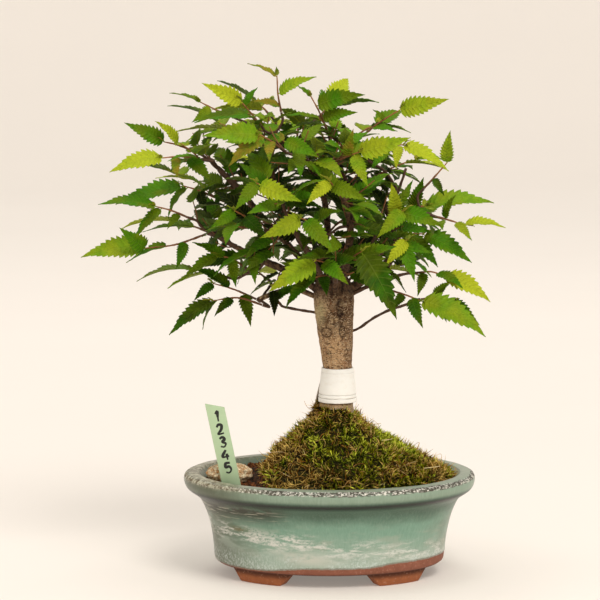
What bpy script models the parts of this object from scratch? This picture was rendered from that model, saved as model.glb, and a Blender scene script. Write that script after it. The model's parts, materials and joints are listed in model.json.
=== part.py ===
"""Zelkova bonsai in an oval glazed pot: broom-style tree, mossy mound, label and fertiliser ball.

Sizes are named in millimetres from the pot's centre, x to the right, y away from the front, z up
from the surface that the feet stand on, and become metres where a mesh is made. Every object
hangs on one empty at the pot's centre, so that the origin is in the middle of the whole
object's footprint.
"""
import math
import random

import bmesh
import bpy
from mathutils import Vector
from mathutils.bvhtree import BVHTree

MM = 0.001
POT_CENTRE = (24.9, -11.8)         # pot centre, from the middle of the object's footprint
GAP = 0.3                         # between pieces that touch
SEED = 11

# Pot: half-length and height of each ring; the half-width is less by POT_LENGTH_EXTRA
POT_HALF_LENGTH = 100.0
POT_HALF_WIDTH = 80.0
POT_HEIGHT = 70.7
POT_FLOOR = 15.0
POT_SIDES = 32
POT_LENGTH_EXTRA = POT_HALF_LENGTH - POT_HALF_WIDTH
POT_OUTSIDE = [(76.3, 9.0), (78.3, 10.4), (79.0, 13.5), (79.4, 20.0), (80.8, 30.0), (82.8, 38.6),
               (86.0, 47.4), (90.2, 54.5), (93.8, 57.2), (98.0, 60.5), (POT_HALF_LENGTH, 66.0),
               (99.0, 69.4), (96.5, POT_HEIGHT)]
POT_INSIDE = [(90.0, POT_HEIGHT), (88.3, 69.0), (83.0, 60.0), (79.5, 48.0), (75.0, 30.0),
              (71.5, 19.0), (66.0, POT_FLOOR)]
FOOT_TOP, FOOT_SUNK = 9.0, 1.0
FOOT_ARC_TOP = (28.5, 69.5)       # degrees round the oval
FOOT_ARC_BOTTOM = (34.0, 62.5)
FOOT_OUTER_TOP, FOOT_INNER_TOP = 76.0, 61.0
FOOT_OUTER_BOTTOM, FOOT_INNER_BOTTOM = 73.5, 64.0
FOOT_STEPS = 5
DRAIN_X, DRAIN_RADIUS, DRAIN_SIDES = 32.0, 6.0, 10
DRAIN_CUT = (5.0, 20.0)           # height that the drain's cut spans
MESH_CELL, MESH_CELLS, MESH_THICKNESS = 4.0, 5, 1.0

# Soil and moss: rings run from the trunk's hole out to the pot's wall
TRUNK_X = 4.3
HOLE_RADIUS = 13.9
STUMP_BOTTOM = 50.0
SOIL_PEAK, SOIL_EDGE = 109.5, 66.0
SOIL_RIGHT_DROP = 6.0             # how much lower the mound begins at the trunk's right
SOIL_SLOPE, SOIL_LEFT_SLOPE, SOIL_RIGHT_SLOPE = 1.15, 0.95, 1.0
SOIL_LEFT_FOOT = 0.55             # how far out the mound ends at the left
SOIL_EDGE_HALF_LENGTH = 85.4
MOSS_RINGS, SOIL_RINGS = 5, 3
MOSS_REACH = 0.98
MOSS_LEFT_EDGE, MOSS_EDGE_WAVE = -41.0, 4.0
MOSS_THICKNESS = 4.4
MOSS_EDGE_SHARE = 0.75            # thickness left at the moss's inner and outer edge
CUSHION_HEIGHTS = (1.5, 1.0)
CUSHION_WAVES = (0.21, 0.26, 0.43, 0.31)             # radians for each millimetre

# Trunk: height, centre x and radius
TRUNK_SIDES = 12
TRUNK = [(STUMP_BOTTOM, TRUNK_X, 12.0), (80.0, TRUNK_X, 12.9), (104.0, TRUNK_X, 13.0),
         (113.0, 4.3, 12.2), (117.0, 4.5, 11.7), (130.0, 5.1, 10.4), (142.0, 5.5, 9.8),
         (150.0, 5.0, 10.5), (160.0, 4.5, 11.5), (170.0, 3.8, 12.3), (180.0, 3.3, 13.2),
         (190.0, 2.8, 13.7), (200.0, 2.5, 12.6), (207.0, 2.5, 9.0)]

# Plastic strip round the trunk
BAND_BOTTOM, BAND_TOP = 119.6, 143.0
BAND_X = 5.5
BAND_RADIUS_BOTTOM, BAND_RADIUS_TOP = 12.7, 10.2      # inside the strip
BAND_THICKNESS = 0.8
BAND_STEPS = 28
BAND_START = 100.0                # degrees from +x, at the back
BAND_TURN = 410.0                 # degrees, so that the last part lies over the first
BAND_LAP = 1.2                    # how far out the lapped part stands
BAND_RISE = (0.70, 0.78)          # shares of the strip where it climbs over its start
BAND_LOOSE = (0.89, 4.2)          # share of the strip where its foot stands off, and how far

# Plant label
LABEL_WIDTH, LABEL_THICKNESS, LABEL_LENGTH, LABEL_POINT = 12.6, 0.8, 70.0, 9.0
LABEL_TOP = (-79.0, 116.5, -31.0)
LABEL_AT_SOIL = (-67.4, 60.5, -31.0)
LABEL_TURN = 6.0
LABEL_SLANT = 2.4

# Fertiliser ball
BALL_CENTRE = (-68.4, -15.5, 72.0)
BALL_SIZE = (15.4, 11.0, 7.6)
BALL_REST = SOIL_EDGE + GAP
BALL_BUMPS = (0.035, 0.03)        # depth of the skin's two waves, as shares of the radius

# Where the viewer in front of the object stands: sight lines from there place what shows
EYE = Vector((-20.3, -2200.0, 475.0))

# Limbs that leave the fork, and two low twigs, as (x, z, depth) on the sight lines
LIMBS = {
    "leader": [(4, 194, 0), (10, 215, 2), (15, 240, 4), (13, 264, 4), (6, 284, 0), (0, 298, -4)],
    "left_leader": [(0, 194, 0), (-12, 216, -4), (-26, 240, -4), (-36, 264, -2), (-40, 286, 0),
                    (-37, 304, 0)],
    "left_high": [(-2, 194, 2), (-20, 218, 4), (-42, 242, 6), (-62, 266, 8), (-80, 284, 8)],
    "left_low": [(-3, 192, 0), (-22, 206, -2), (-44, 216, -2), (-64, 226, 0), (-82, 235, 0)],
    "left_skirt": [(-4, 188, 2), (-20, 196, 4), (-36, 195, 4), (-48, 190, 2)],
    "right_high": [(7, 194, 0), (22, 216, -4), (36, 240, -8), (46, 262, -8), (52, 280, -6)],
    "right_low": [(8, 192, 2), (26, 206, 4), (40, 216, 4)],
    "right_skirt": [(9, 190, 0), (24, 198, 2), (40, 204, 2), (56, 208, 0)],
    "back_left": [(0, 196, 4), (-14, 222, 26), (-32, 248, 48), (-46, 268, 62)],
    "back_right": [(6, 196, 4), (18, 222, 26), (34, 246, 46), (46, 264, 58)],
    "back_low": [(2, 194, 6), (-2, 210, 34), (-8, 222, 58), (-14, 232, 76)],
    "front_left": [(0, 196, -4), (-14, 222, -24), (-27, 242, -38), (-31, 252, -48)],
    "front_right": [(6, 196, -4), (12, 220, -24), (14, 240, -38), (13, 250, -45)],
    "front_low": [(3, 194, -5), (4, 202, -22), (5, 207, -36)],
    "low_left": [(-4, 180, 0), (-17, 182, 0), (-28, 184, 2)],
    "low_right": [(8, 166, 0), (18, 169, 2), (30, 177, 4), (42, 183, 6), (54, 187, 8)],
}

# Leafy sprays that show from the front. First the twig as (x, z, depth) on the sight lines,
# then its leaves as (place along the twig, tip x, tip z, tip depth from the twig, how far the
# blade turns from facing up to facing the front).
FRONT_SPRAYS = {
    "crown_tip": (
        [(-33, 318, 0), (-35, 328, 0), (-36, 343, 0)],
        [(1.0, -56, 351, -2, 0.25), (0.5, -9, 342, -6, 0.5), (0.15, -54, 325, -8, 0.4)]),
    "top_left": (
        [(-46, 308, -6), (-54, 318, -8), (-60, 325, -8)],
        [(1.0, -87, 338, -8, 0.75), (0.85, -49, 335, 2, 0.4), (0.4, -92, 311, 4, 0.3)]),
    "upper_left_far": (
        [(-64, 314, 10), (-78, 320, 12), (-88, 325, 12)],
        [(1.0, -109, 331, 4, 0.15), (0.92, -109, 307, 8, 0.3), (0.7, -94, 311, -8, 0.9)]),
    "top_centre": (
        [(-2, 306, -10), (-7, 318, -12), (-13, 329, -12)],
        [(0.7, 24, 330, -8, 0.8), (1.0, -22, 336, 2, 0.3), (0.35, 19, 318, -6, 0.7)]),
    "upper_right": (
        [(22, 302, 0), (35, 312, -2), (48, 320, -4)],
        [(0.95, 81, 327, -6, 0.75), (0.6, 29, 320, 4, 0.5), (0.3, 46, 305, -10, 0.4)]),
    "right_tip": (
        [(64, 266, 4), (73, 276, 2), (80, 284, 2)],
        [(1.0, 82, 306, -4, 0.95), (0.95, 109, 290, 2, 0.1), (0.4, 78, 261, -4, 0.6)]),
    "right_shoulder": (
        [(34, 291, -24), (42, 295, -28), (50, 296, -30)],
        [(1.0, 81, 278, -8, 0.4), (0.85, 45, 279, -8, 0.5), (0.4, 28, 279, -6, 0.7)]),
    "shoulder_front": (
        [(4, 284, -44), (12, 288, -52), (20, 291, -56)],
        [(1.0, 55, 301, -4, 0.8), (0.8, 26, 267, -8, 0.85), (0.5, 16, 307, 0, 0.5)]),
    "upper_left": (
        [(-94, 292, 8), (-104, 296, 8), (-113, 298, 8)],
        [(1.0, -140, 311, -6, 0.75), (0.9, -146, 286, 4, 0.15), (0.5, -119, 312, -10, 0.5)]),
    "left_shoulder": (
        [(-88, 286, -16), (-101, 288, -18), (-114, 287, -20)],
        [(1.0, -150, 277, -8, 0.5), (0.65, -104, 273, -8, 0.9), (0.3, -80, 270, -10, 0.8)]),
    "front_high_left": (
        [(-34, 294, -54), (-41, 299, -62), (-48, 303, -66)],
        [(1.0, -87, 302, -6, 0.7), (0.8, -69, 281, -12, 0.5), (0.5, -41, 284, -10, 0.95)]),
    "front_high": (
        [(-18, 288, -54), (-25, 294, -62), (-32, 299, -66)],
        [(0.95, -7, 287, -10, 0.85), (1.0, 0, 307, -2, 0.3), (0.3, -20, 273, -8, 0.8)]),
    "left_outer_high": (
        [(-78, 260, 6), (-90, 265, 6), (-100, 268, 6)],
        [(1.0, -146, 255, -4, 0.35), (0.85, -110, 246, 6, 0.3), (0.5, -84, 249, -12, 0.8)]),
    "left_outer": (
        [(-96, 246, -4), (-108, 251, -6), (-119, 254, -6)],
        [(1.0, -161, 255, -6, 0.4), (0.8, -134, 231, -2, 0.3), (0.3, -111, 238, -8, 0.6)]),
    "left_outer_low": (
        [(-84, 235, 0), (-106, 226, 0), (-128, 222, 0)],
        [(1.0, -170, 219, -4, 0.6), (0.95, -149, 244, -8, 0.9), (0.6, -139, 215, 6, 0.25),
         (0.35, -105, 211, -8, 0.9)]),
    "left_lower": (
        [(-58, 212, 0), (-67, 218, -2), (-76, 220, -2)],
        [(1.0, -101, 203, 4, 0.4), (0.5, -64, 198, -8, 0.8), (0.75, -94, 229, 4, 0.4)]),
    "left_skirt": (
        [(-50, 190, 8), (-66, 197, 10), (-80, 201, 10)],
        [(1.0, -93, 189, -6, 0.7), (0.6, -94, 212, 4, 0.3), (0.3, -54, 171, -10, 0.85)]),
    "left_bottom": (
        [(-46, 186, -10), (-62, 191, -12), (-80, 189, -12)],
        [(1.0, -110, 165, -4, 0.35), (0.92, -87, 169, 4, 0.2), (0.6, -79, 178, -8, 0.6)]),
    "low_left": (
        [(-34, 187, 2), (-37, 191, 0), (-39, 197, -2)],
        [(1.0, -38, 178, -8, 0.8), (0.8, -60, 200, 4, 0.4), (0.4, -18, 200, -4, 0.5)]),
    "front_low_left": (
        [(0, 206, -30), (-6, 206, -36), (-13, 204, -40)],
        [(1.0, -30, 184, -8, 0.35), (0.7, -36, 216, -6, 0.7), (0.4, -2, 192, -10, 0.8)]),
    "front_low": (
        [(4, 211, -50), (-2, 215, -62), (-10, 217, -70)],
        [(1.0, -42, 195, -8, 0.9), (0.7, 13, 200, -10, 0.85), (0.35, 20, 218, -6, 0.7)]),
    "front_left": (
        [(-6, 238, -56), (-13, 243, -66), (-20, 246, -74)],
        [(1.0, -48, 232, -8, 0.9), (0.8, 3, 222, -10, 0.9), (0.4, 8, 251, -6, 0.6)]),
    "front_top": (
        [(-36, 260, -64), (-43, 266, -74), (-50, 270, -82)],
        [(1.0, -65, 251, -8, 0.9), (0.9, -19, 257, -8, 0.85), (0.4, -58, 280, -6, 0.6)]),
    "front_centre": (
        [(8, 260, -56), (4, 266, -66), (0, 271, -72)],
        [(1.0, -16, 255, -8, 0.9), (0.8, 26, 258, -8, 0.8), (0.4, -12, 281, -6, 0.6)]),
    "front_left_face": (
        [(-50, 240, -48), (-58, 247, -58), (-65, 251, -64)],
        [(1.0, -82, 239, -8, 0.9), (0.6, -42, 231, -8, 0.8), (0.4, -76, 262, -6, 0.6)]),
    "front_big_leaf": (
        [(12, 216, -48), (17, 220, -58), (22, 223, -66)],
        [(1.0, 46, 176, -14, 0.95), (0.7, -2, 205, -10, 0.9), (0.5, 44, 226, -6, 0.7)]),
    "front_right": (
        [(38, 244, -36), (45, 249, -44), (51, 251, -50)],
        [(1.0, 32, 232, -10, 0.95), (0.7, 76, 240, -8, 0.7), (0.5, 42, 268, -6, 0.6)]),
    "right_yellow": (
        [(38, 224, -34), (46, 229, -42), (53, 231, -48)],
        [(1.0, 38, 213, -8, 0.95), (0.75, 58, 202, -6, 0.85), (0.4, 68, 222, -4, 0.6)]),
    "right_outer": (
        [(48, 230, 6), (56, 235, 6), (64, 235, 6)],
        [(1.0, 97, 215, -4, 0.5), (0.85, 96, 229, 4, 0.4), (0.4, 74, 212, -6, 0.6)]),
    "right_outer_high": (
        [(48, 248, 10), (56, 252, 12), (65, 254, 12)],
        [(1.0, 112, 256, 0, 0.35), (0.85, 89, 245, 4, 0.4), (0.5, 64, 274, -4, 0.6)]),
    "right_far": (
        [(72, 247, 0), (83, 244, 0), (92, 241, 0)],
        [(1.0, 120, 239, -2, 0.3), (0.7, 98, 229, -6, 0.5), (0.3, 86, 262, -4, 0.4)]),
    "right_lower": (
        [(58, 208, 0), (69, 209, -2), (79, 206, -2)],
        [(1.0, 110, 188, -4, 0.6), (0.7, 92, 197, 6, 0.4), (0.3, 60, 192, -8, 0.7)]),
    "right_bottom": (
        [(42, 196, -8), (52, 193, -10), (62, 189, -12)],
        [(1.0, 107, 164, -6, 0.5), (0.7, 64, 170, -10, 0.9), (0.4, 42, 182, -8, 0.7)]),
    "low_right": (
        [(62, 190, 8), (73, 191, 10), (84, 189, 10)],
        [(1.0, 103, 172, -8, 0.9), (0.6, 80, 174, -4, 0.6), (0.4, 84, 203, 2, 0.5)]),
}

# Sprays round the sides and back: rows of (height, number of sprays, half-width of the crown)
BACK_ROWS = [(204.0, 4, 98.0), (236.0, 4, 116.0), (268.0, 4, 112.0), (294.0, 3, 86.0),
             (312.0, 2, 48.0)]
CROWN_X = -24.0
CROWN_DEPTH_RATIO = 0.88
BACK_TURN = (8.0, 172.0)          # degrees from +x, by way of the back
BACK_START, BACK_MIDDLE, BACK_REACH = 0.58, 0.12, 0.24   # twig points, in shares of half-width
BACK_RISE, BACK_ROW_RISE = 0.18, 0.12
BACK_LEAVES = 3
BACK_LEAF_STEP = 0.3              # share of the twig between leaves
BACK_LEAF_SPREAD = (0.35, 0.95)   # sideways lean of the end leaf and of the others
BACK_LEAF_LENGTHS = (30.0, 40.0)

# Twigs and leaves
TWIG_SIDES = 4
WOOD_SOLVER = "MANIFOLD"
TWIG_END_RADIUS = 0.95
TWIG_GROWTH = 0.62                # power by which radius grows with the leafy ends carried
TURN_BACK_COST = 0.9              # how strongly a branch avoids turning back
ARRIVAL, ARRIVAL_SHARE = 10.0, 0.35   # last straight stretch of a branch
BENT_FROM, JOINTED_FROM = 18.0, 6.0   # lengths from which a branch gets a bend and a joint
BEND_SHARE = 0.10
SPRAY_RADII = (0.9, 0.62)
LEAF_THICKNESS = 0.7
LEAF_STALK = 0.42
LEAF_WIDTH = 0.40                 # whole width over length
LEAF_ARCH = 0.07
LEAF_FOLD = 0.30
LEAF_TEETH = [(0.17, 0.80), (0.42, 1.0), (0.49, 0.78), (0.72, 0.64)]
TWIG_NUDGES = [0.0, 3.0, 6.0, 9.0, 12.0]
LEAF_NUDGES = [0.0, 5.0, -5.0, 9.0, -9.0, 14.0, -14.0, 19.0, -19.0]

COLOURS = {
    "glaze": (0.21, 0.31, 0.23), "bark": (0.24, 0.15, 0.08), "soil": (0.05, 0.028, 0.014),
    "moss": (0.11, 0.14, 0.015), "white_plastic": (0.85, 0.82, 0.72),
    "label_plastic": (0.40, 0.58, 0.37), "fertiliser": (0.38, 0.20, 0.08),
    "mesh_plastic": (0.03, 0.035, 0.03), "leaf": (0.13, 0.27, 0.02),
}
ROUGHNESS = {"glaze": 0.28, "bark": 0.85, "soil": 0.95, "moss": 0.95, "white_plastic": 0.4,
             "label_plastic": 0.45, "fertiliser": 0.9, "mesh_plastic": 0.6, "leaf": 0.5}


def clear_scene():
    for old in list(bpy.data.objects):
        bpy.data.objects.remove(old)


def make_material(name, kind):
    material = bpy.data.materials.new(name)
    material.use_nodes = True
    shader = material.node_tree.nodes["Principled BSDF"]
    shader.inputs["Base Color"].default_value = (*COLOURS[kind], 1.0)
    shader.inputs["Roughness"].default_value = ROUGHNESS[kind]
    shader.inputs["Metallic"].default_value = 0.0
    return material


def make_frame():
    """The empty at the pot's centre that carries every piece."""
    frame = bpy.data.objects.new("pot_centre", None)
    frame.location = (POT_CENTRE[0] * MM, POT_CENTRE[1] * MM, 0.0)
    bpy.context.scene.collection.objects.link(frame)
    return frame


def metres(point):
    return (point[0] * MM, point[1] * MM, point[2] * MM)


def add_object(name, kind, points, faces, frame, smooth_angle=None):
    """One piece from points in millimetres."""
    mesh = bpy.data.meshes.new(name)
    mesh.from_pydata([metres(p) for p in points], [], faces)
    mesh.validate()
    piece = bpy.data.objects.new(name, mesh)
    bpy.context.scene.collection.objects.link(piece)
    if kind:
        mesh.materials.append(make_material(name, kind))
    if smooth_angle:
        mesh.shade_smooth()
        mesh.set_sharp_from_angle(angle=math.radians(smooth_angle))
    piece.parent = frame
    return piece


def bake(piece):
    """Apply the piece's modifiers."""
    graph = bpy.context.evaluated_depsgraph_get()
    mesh = bpy.data.meshes.new_from_object(piece.evaluated_get(graph))
    piece.modifiers.clear()
    piece.data = mesh


def join_all(piece, others, operation, solver="EXACT"):
    """Boolean of a piece with a collection of others, which are then removed."""
    group = bpy.data.collections.new(piece.name + "_others")
    bpy.context.scene.collection.children.link(group)
    for other in others:
        bpy.context.scene.collection.objects.unlink(other)
        group.objects.link(other)
    boolean = piece.modifiers.new("join", "BOOLEAN")
    boolean.operation = operation
    boolean.operand_type = "COLLECTION"
    boolean.collection = group
    boolean.solver = solver
    bake(piece)
    for other in list(group.objects):
        bpy.data.objects.remove(other)
    bpy.data.collections.remove(group)


def strip_faces(low, high, count, split=""):
    """Faces between two rings of points, as quads or as triangles split one way or the other."""
    faces = []
    for j in range(count):
        after = (j + 1) % count
        a, b, c, d = low + j, low + after, high + after, high + j
        if split == "rising":
            faces += [(a, b, c), (a, c, d)]
        elif split == "falling":
            faces += [(a, b, d), (b, c, d)]
        else:
            faces.append((a, b, c, d))
    return faces


def loft(rings, split=""):
    """Closed solid through rings that all have the same number of points."""
    count = len(rings[0])
    points = [p for ring in rings for p in ring]
    faces = [list(reversed(range(count)))]
    for k in range(len(rings) - 1):
        faces += strip_faces(k * count, (k + 1) * count, count, split)
    faces.append(list(range(len(points) - count, len(points))))
    return points, faces


def oval(half_length, z, sides=POT_SIDES):
    half_width = half_length - POT_LENGTH_EXTRA
    turns = [2 * math.pi * j / sides for j in range(sides)]
    return [(half_length * math.cos(t), half_width * math.sin(t), z) for t in turns]


def cylinder(x, radius):
    """The cutter for one drain hole."""
    turns = [2 * math.pi * j / DRAIN_SIDES for j in range(DRAIN_SIDES)]
    return loft([[(x + radius * math.cos(t), radius * math.sin(t), z) for t in turns]
                 for z in DRAIN_CUT])


def box(centre, size):
    corners = [(sx, sy) for sx, sy in ((-1, -1), (1, -1), (1, 1), (-1, 1))]
    return loft([[(centre[0] + sx * size[0] / 2, centre[1] + sy * size[1] / 2,
                   centre[2] + sz * size[2] / 2) for sx, sy in corners] for sz in (-1, 1)])


def foot(sign_x, sign_y):
    """A curved foot that tapers down to its flat sole."""
    def corners(turn, outer, inner, z):
        c, s = math.cos(turn), math.sin(turn)
        out = (sign_x * outer * c, sign_y * (outer - POT_LENGTH_EXTRA) * s, z)
        into = (sign_x * inner * c, sign_y * (inner - POT_LENGTH_EXTRA) * s, z)
        return out, into

    sections = []
    for k in range(FOOT_STEPS + 1):
        share = k / FOOT_STEPS
        low_turn = math.radians(FOOT_ARC_BOTTOM[0] + share * (FOOT_ARC_BOTTOM[1] - FOOT_ARC_BOTTOM[0]))
        top_turn = math.radians(FOOT_ARC_TOP[0] + share * (FOOT_ARC_TOP[1] - FOOT_ARC_TOP[0]))
        low_out, low_in = corners(low_turn, FOOT_OUTER_BOTTOM, FOOT_INNER_BOTTOM, 0.0)
        top_out, top_in = corners(top_turn, FOOT_OUTER_TOP, FOOT_INNER_TOP, FOOT_TOP + FOOT_SUNK)
        sections.append([low_out, top_out, top_in, low_in])
    points, faces = loft(sections)
    if sign_x * sign_y > 0:
        return points, faces
    return points, [list(reversed(face)) for face in faces]


def make_pot(frame):
    rings = [oval(r, z) for r, z in POT_OUTSIDE + POT_INSIDE]
    pot = add_object("pot", "glaze", *loft(rings), frame, smooth_angle=50)
    feet = [add_object("foot", None, *foot(sx, sy), frame) for sx in (-1, 1) for sy in (-1, 1)]
    join_all(pot, feet, "UNION")
    drains = [add_object("drain", None, *cylinder(side * DRAIN_X, DRAIN_RADIUS), frame)
              for side in (-1, 1)]
    join_all(pot, drains, "DIFFERENCE")


def make_drain_mesh(side, frame):
    """A square of plastic mesh over one drain hole."""
    cells = {(i, j) for i in range(MESH_CELLS) for j in range(MESH_CELLS) if i % 2 == 0 or j % 2 == 0}
    half = MESH_CELLS * MESH_CELL / 2
    shape = bmesh.new()
    corners = {}

    def corner(i, j):
        if (i, j) not in corners:
            x = side * DRAIN_X + i * MESH_CELL - half
            corners[i, j] = shape.verts.new(metres((x, j * MESH_CELL - half, POT_FLOOR + GAP)))
        return corners[i, j]

    for i, j in sorted(cells):
        shape.faces.new([corner(i, j), corner(i, j + 1), corner(i + 1, j + 1), corner(i + 1, j)])
    lifted = bmesh.ops.extrude_face_region(shape, geom=shape.faces[:], use_keep_orig=True)
    top = [g for g in lifted["geom"] if isinstance(g, bmesh.types.BMVert)]
    bmesh.ops.translate(shape, verts=top, vec=(0, 0, MESH_THICKNESS * MM))
    bmesh.ops.recalc_face_normals(shape, faces=shape.faces)
    name = "drain_mesh_left" if side < 0 else "drain_mesh_right"
    mesh = bpy.data.meshes.new(name)
    shape.to_mesh(mesh)
    shape.free()
    mesh.materials.append(make_material(name, "mesh_plastic"))
    piece = bpy.data.objects.new(name, mesh)
    bpy.context.scene.collection.objects.link(piece)
    piece.parent = frame


def soil_height(share, turn):
    """Height of the soil from the trunk, share 0, to the pot's wall, share 1."""
    left, right = max(0.0, -math.cos(turn)) ** 2, max(0.0, math.cos(turn)) ** 2
    peak = SOIL_PEAK - SOIL_RIGHT_DROP * right
    power = SOIL_SLOPE + (SOIL_LEFT_SLOPE - SOIL_SLOPE) * left
    power += (SOIL_RIGHT_SLOPE - SOIL_SLOPE) * right
    foot_share = 1.0 - (1.0 - SOIL_LEFT_FOOT) * left
    return SOIL_EDGE + (peak - SOIL_EDGE) * max(0.0, 1.0 - share / foot_share) ** power


def mound_line(j):
    """Inner and outer end of the j-th line of the mound, and its direction."""
    turn = 2 * math.pi * j / POT_SIDES
    inner = Vector((TRUNK_X + HOLE_RADIUS * math.cos(turn), HOLE_RADIUS * math.sin(turn)))
    half_width = SOIL_EDGE_HALF_LENGTH - POT_LENGTH_EXTRA
    outer = Vector((SOIL_EDGE_HALF_LENGTH * math.cos(turn), half_width * math.sin(turn)))
    return inner, outer, turn


def moss_reach(j):
    """How far out the moss grows: to the wall, but not over the bare soil at the left."""
    inner, outer, turn = mound_line(j)
    edge = MOSS_LEFT_EDGE + MOSS_EDGE_WAVE * math.sin(3.0 * turn)
    if outer.x >= edge:
        return MOSS_REACH
    return min(MOSS_REACH, (inner.x - edge) / (inner.x - outer.x))


def mound_ring(k, lift):
    """Ring k of the mound: 0 at the trunk, MOSS_RINGS at the moss's edge, then out to the wall."""
    ring = []
    for j in range(POT_SIDES):
        inner, outer, turn = mound_line(j)
        reach = moss_reach(j)
        if k <= MOSS_RINGS:
            share = reach * k / MOSS_RINGS
        else:
            share = reach + (1.0 - reach) * (k - MOSS_RINGS) / SOIL_RINGS
        spot = inner.lerp(outer, share)
        ring.append((spot.x, spot.y, soil_height(share, turn) + lift(k, spot)))
    return ring


def moss_relief(k, spot):
    """Thickness of the moss: cushions, and a rounded edge."""
    wave_a, wave_b, wave_c, wave_d = CUSHION_WAVES
    cushions = CUSHION_HEIGHTS[0] * math.sin(wave_a * spot.x + 0.5) * math.cos(wave_b * spot.y)
    cushions += CUSHION_HEIGHTS[1] * math.sin(wave_c * spot.x - wave_d * spot.y)
    edge = MOSS_EDGE_SHARE if k in (0, MOSS_RINGS) else 1.0
    return GAP + (MOSS_THICKNESS + cushions) * edge


def make_soil(frame):
    """Soil: up the outside from the floor, over the mound and down the trunk's hole."""
    below_rim = [(r, z) for r, z in reversed(POT_INSIDE) if z < SOIL_EDGE]
    rings = [oval(r - GAP - 0.1, z + GAP) for r, z in below_rim]
    rings += [mound_ring(k, lambda k, spot: 0.0) for k in range(MOSS_RINGS + SOIL_RINGS, -1, -1)]
    turns = [2 * math.pi * j / POT_SIDES for j in range(POT_SIDES)]
    rings.append([(TRUNK_X + HOLE_RADIUS * math.cos(t), HOLE_RADIUS * math.sin(t),
                   STUMP_BOTTOM - GAP) for t in turns])
    soil = add_object("soil", "soil", *loft(rings, "falling"), frame, smooth_angle=60)
    pocket = MESH_CELL * MESH_CELLS + 2 * GAP
    height = MESH_THICKNESS + 2 * GAP
    cutters = [add_object("pocket", None, *box((side * DRAIN_X, 0, POT_FLOOR + height / 2),
                                               (pocket, pocket, height)), frame)
               for side in (-1, 1)]
    cutters.append(label_slot(frame))
    join_all(soil, cutters, "DIFFERENCE")


def make_moss(frame):
    """Moss: its underside lies on the soil's rings, its top follows the cushions."""
    under = [mound_ring(k, lambda k, spot: GAP) for k in range(MOSS_RINGS + 1)]
    over = [mound_ring(k, moss_relief) for k in range(MOSS_RINGS, -1, -1)]
    rings = under + over
    points = [p for ring in rings for p in ring]
    faces = []
    for k in range(len(rings)):
        following = (k + 1) % len(rings)
        faces += strip_faces(k * POT_SIDES, following * POT_SIDES, POT_SIDES, "rising")
    add_object("moss", "moss", points, faces, frame, smooth_angle=60)


def ring_frames(path):
    """A steady pair of side directions at each point of a path."""
    tangents = []
    for k in range(len(path)):
        before, after = path[max(k - 1, 0)], path[min(k + 1, len(path) - 1)]
        tangents.append((after - before).normalized())
    side = tangents[0].orthogonal().normalized()
    frames = []
    for tangent in tangents:
        side = (side - tangent * side.dot(tangent)).normalized()
        frames.append((side, tangent.cross(side)))
    return frames


def tube(path, radii, sides):
    rings = []
    for spot, radius, (side, other) in zip(path, radii, ring_frames(path)):
        turns = [2 * math.pi * j / sides for j in range(sides)]
        rings.append([spot + radius * (math.cos(t) * side + math.sin(t) * other) for t in turns])
    return loft(rings)


def from_front(x, z, depth):
    """The point at a depth on the sight line through (x, z) of the plane across the pot."""
    on_plane = Vector((x, 0.0, z))
    return EYE + (on_plane - EYE) * (depth - EYE.y) / -EYE.y


class Leaf:
    """A leaf's place: base, tip and the direction that its upper side faces."""

    def __init__(self, base, tip, facing):
        self.base, self.tip = base, tip
        self.length = (tip - base).length
        self.along = (tip - base).normalized()
        self.up = (facing - self.along * facing.dot(self.along)).normalized()
        self.across = self.up.cross(self.along)

    def point(self, t, s, lift=0.0):
        """Place on the blade: t from base to tip, s across from edge to edge."""
        half = s * self.length * LEAF_WIDTH / 2
        rise = LEAF_ARCH * 4 * t * (1 - t) * self.length + LEAF_FOLD * abs(half)
        return self.base + self.along * t * self.length + self.across * half + self.up * (rise + lift)

    def plate(self, thickness):
        """The blade as a thin solid with cut edges, bent along its midrib."""
        stalk = LEAF_STALK / (self.length * LEAF_WIDTH / 2)
        edge = [(0.0, stalk)] + LEAF_TEETH
        outline = [(t, -s) for t, s in edge] + [(1.0, 0.0)] + [(t, s) for t, s in reversed(edge)]
        points = []
        for lift in (thickness / 2, -thickness / 2):
            points += [self.point(t, s, lift) for t, s in outline]
            points.append(self.point(0.5, 0.0, lift))
        count = len(outline)
        faces = []
        for j in range(count):
            after = (j + 1) % count
            under, under_after = j + count + 1, after + count + 1
            faces.append((j, after, count))
            faces.append((under_after, under, 2 * count + 1))
            faces.append((j, under, under_after, after))
        return points, faces


class Crowd:
    """What already stands in the crown, to keep new pieces clear of it."""

    def __init__(self):
        self.trees = []

    def add(self, owner, points, faces):
        self.trees.append((owner, BVHTree.FromPolygons(points, faces)))

    def touches(self, points, faces, owner):
        """Whether a shape meets anything but the twig of its owner."""
        tree = BVHTree.FromPolygons(points, faces)
        return any(tree.overlap(other) for whose, other in self.trees if whose != owner)


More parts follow.
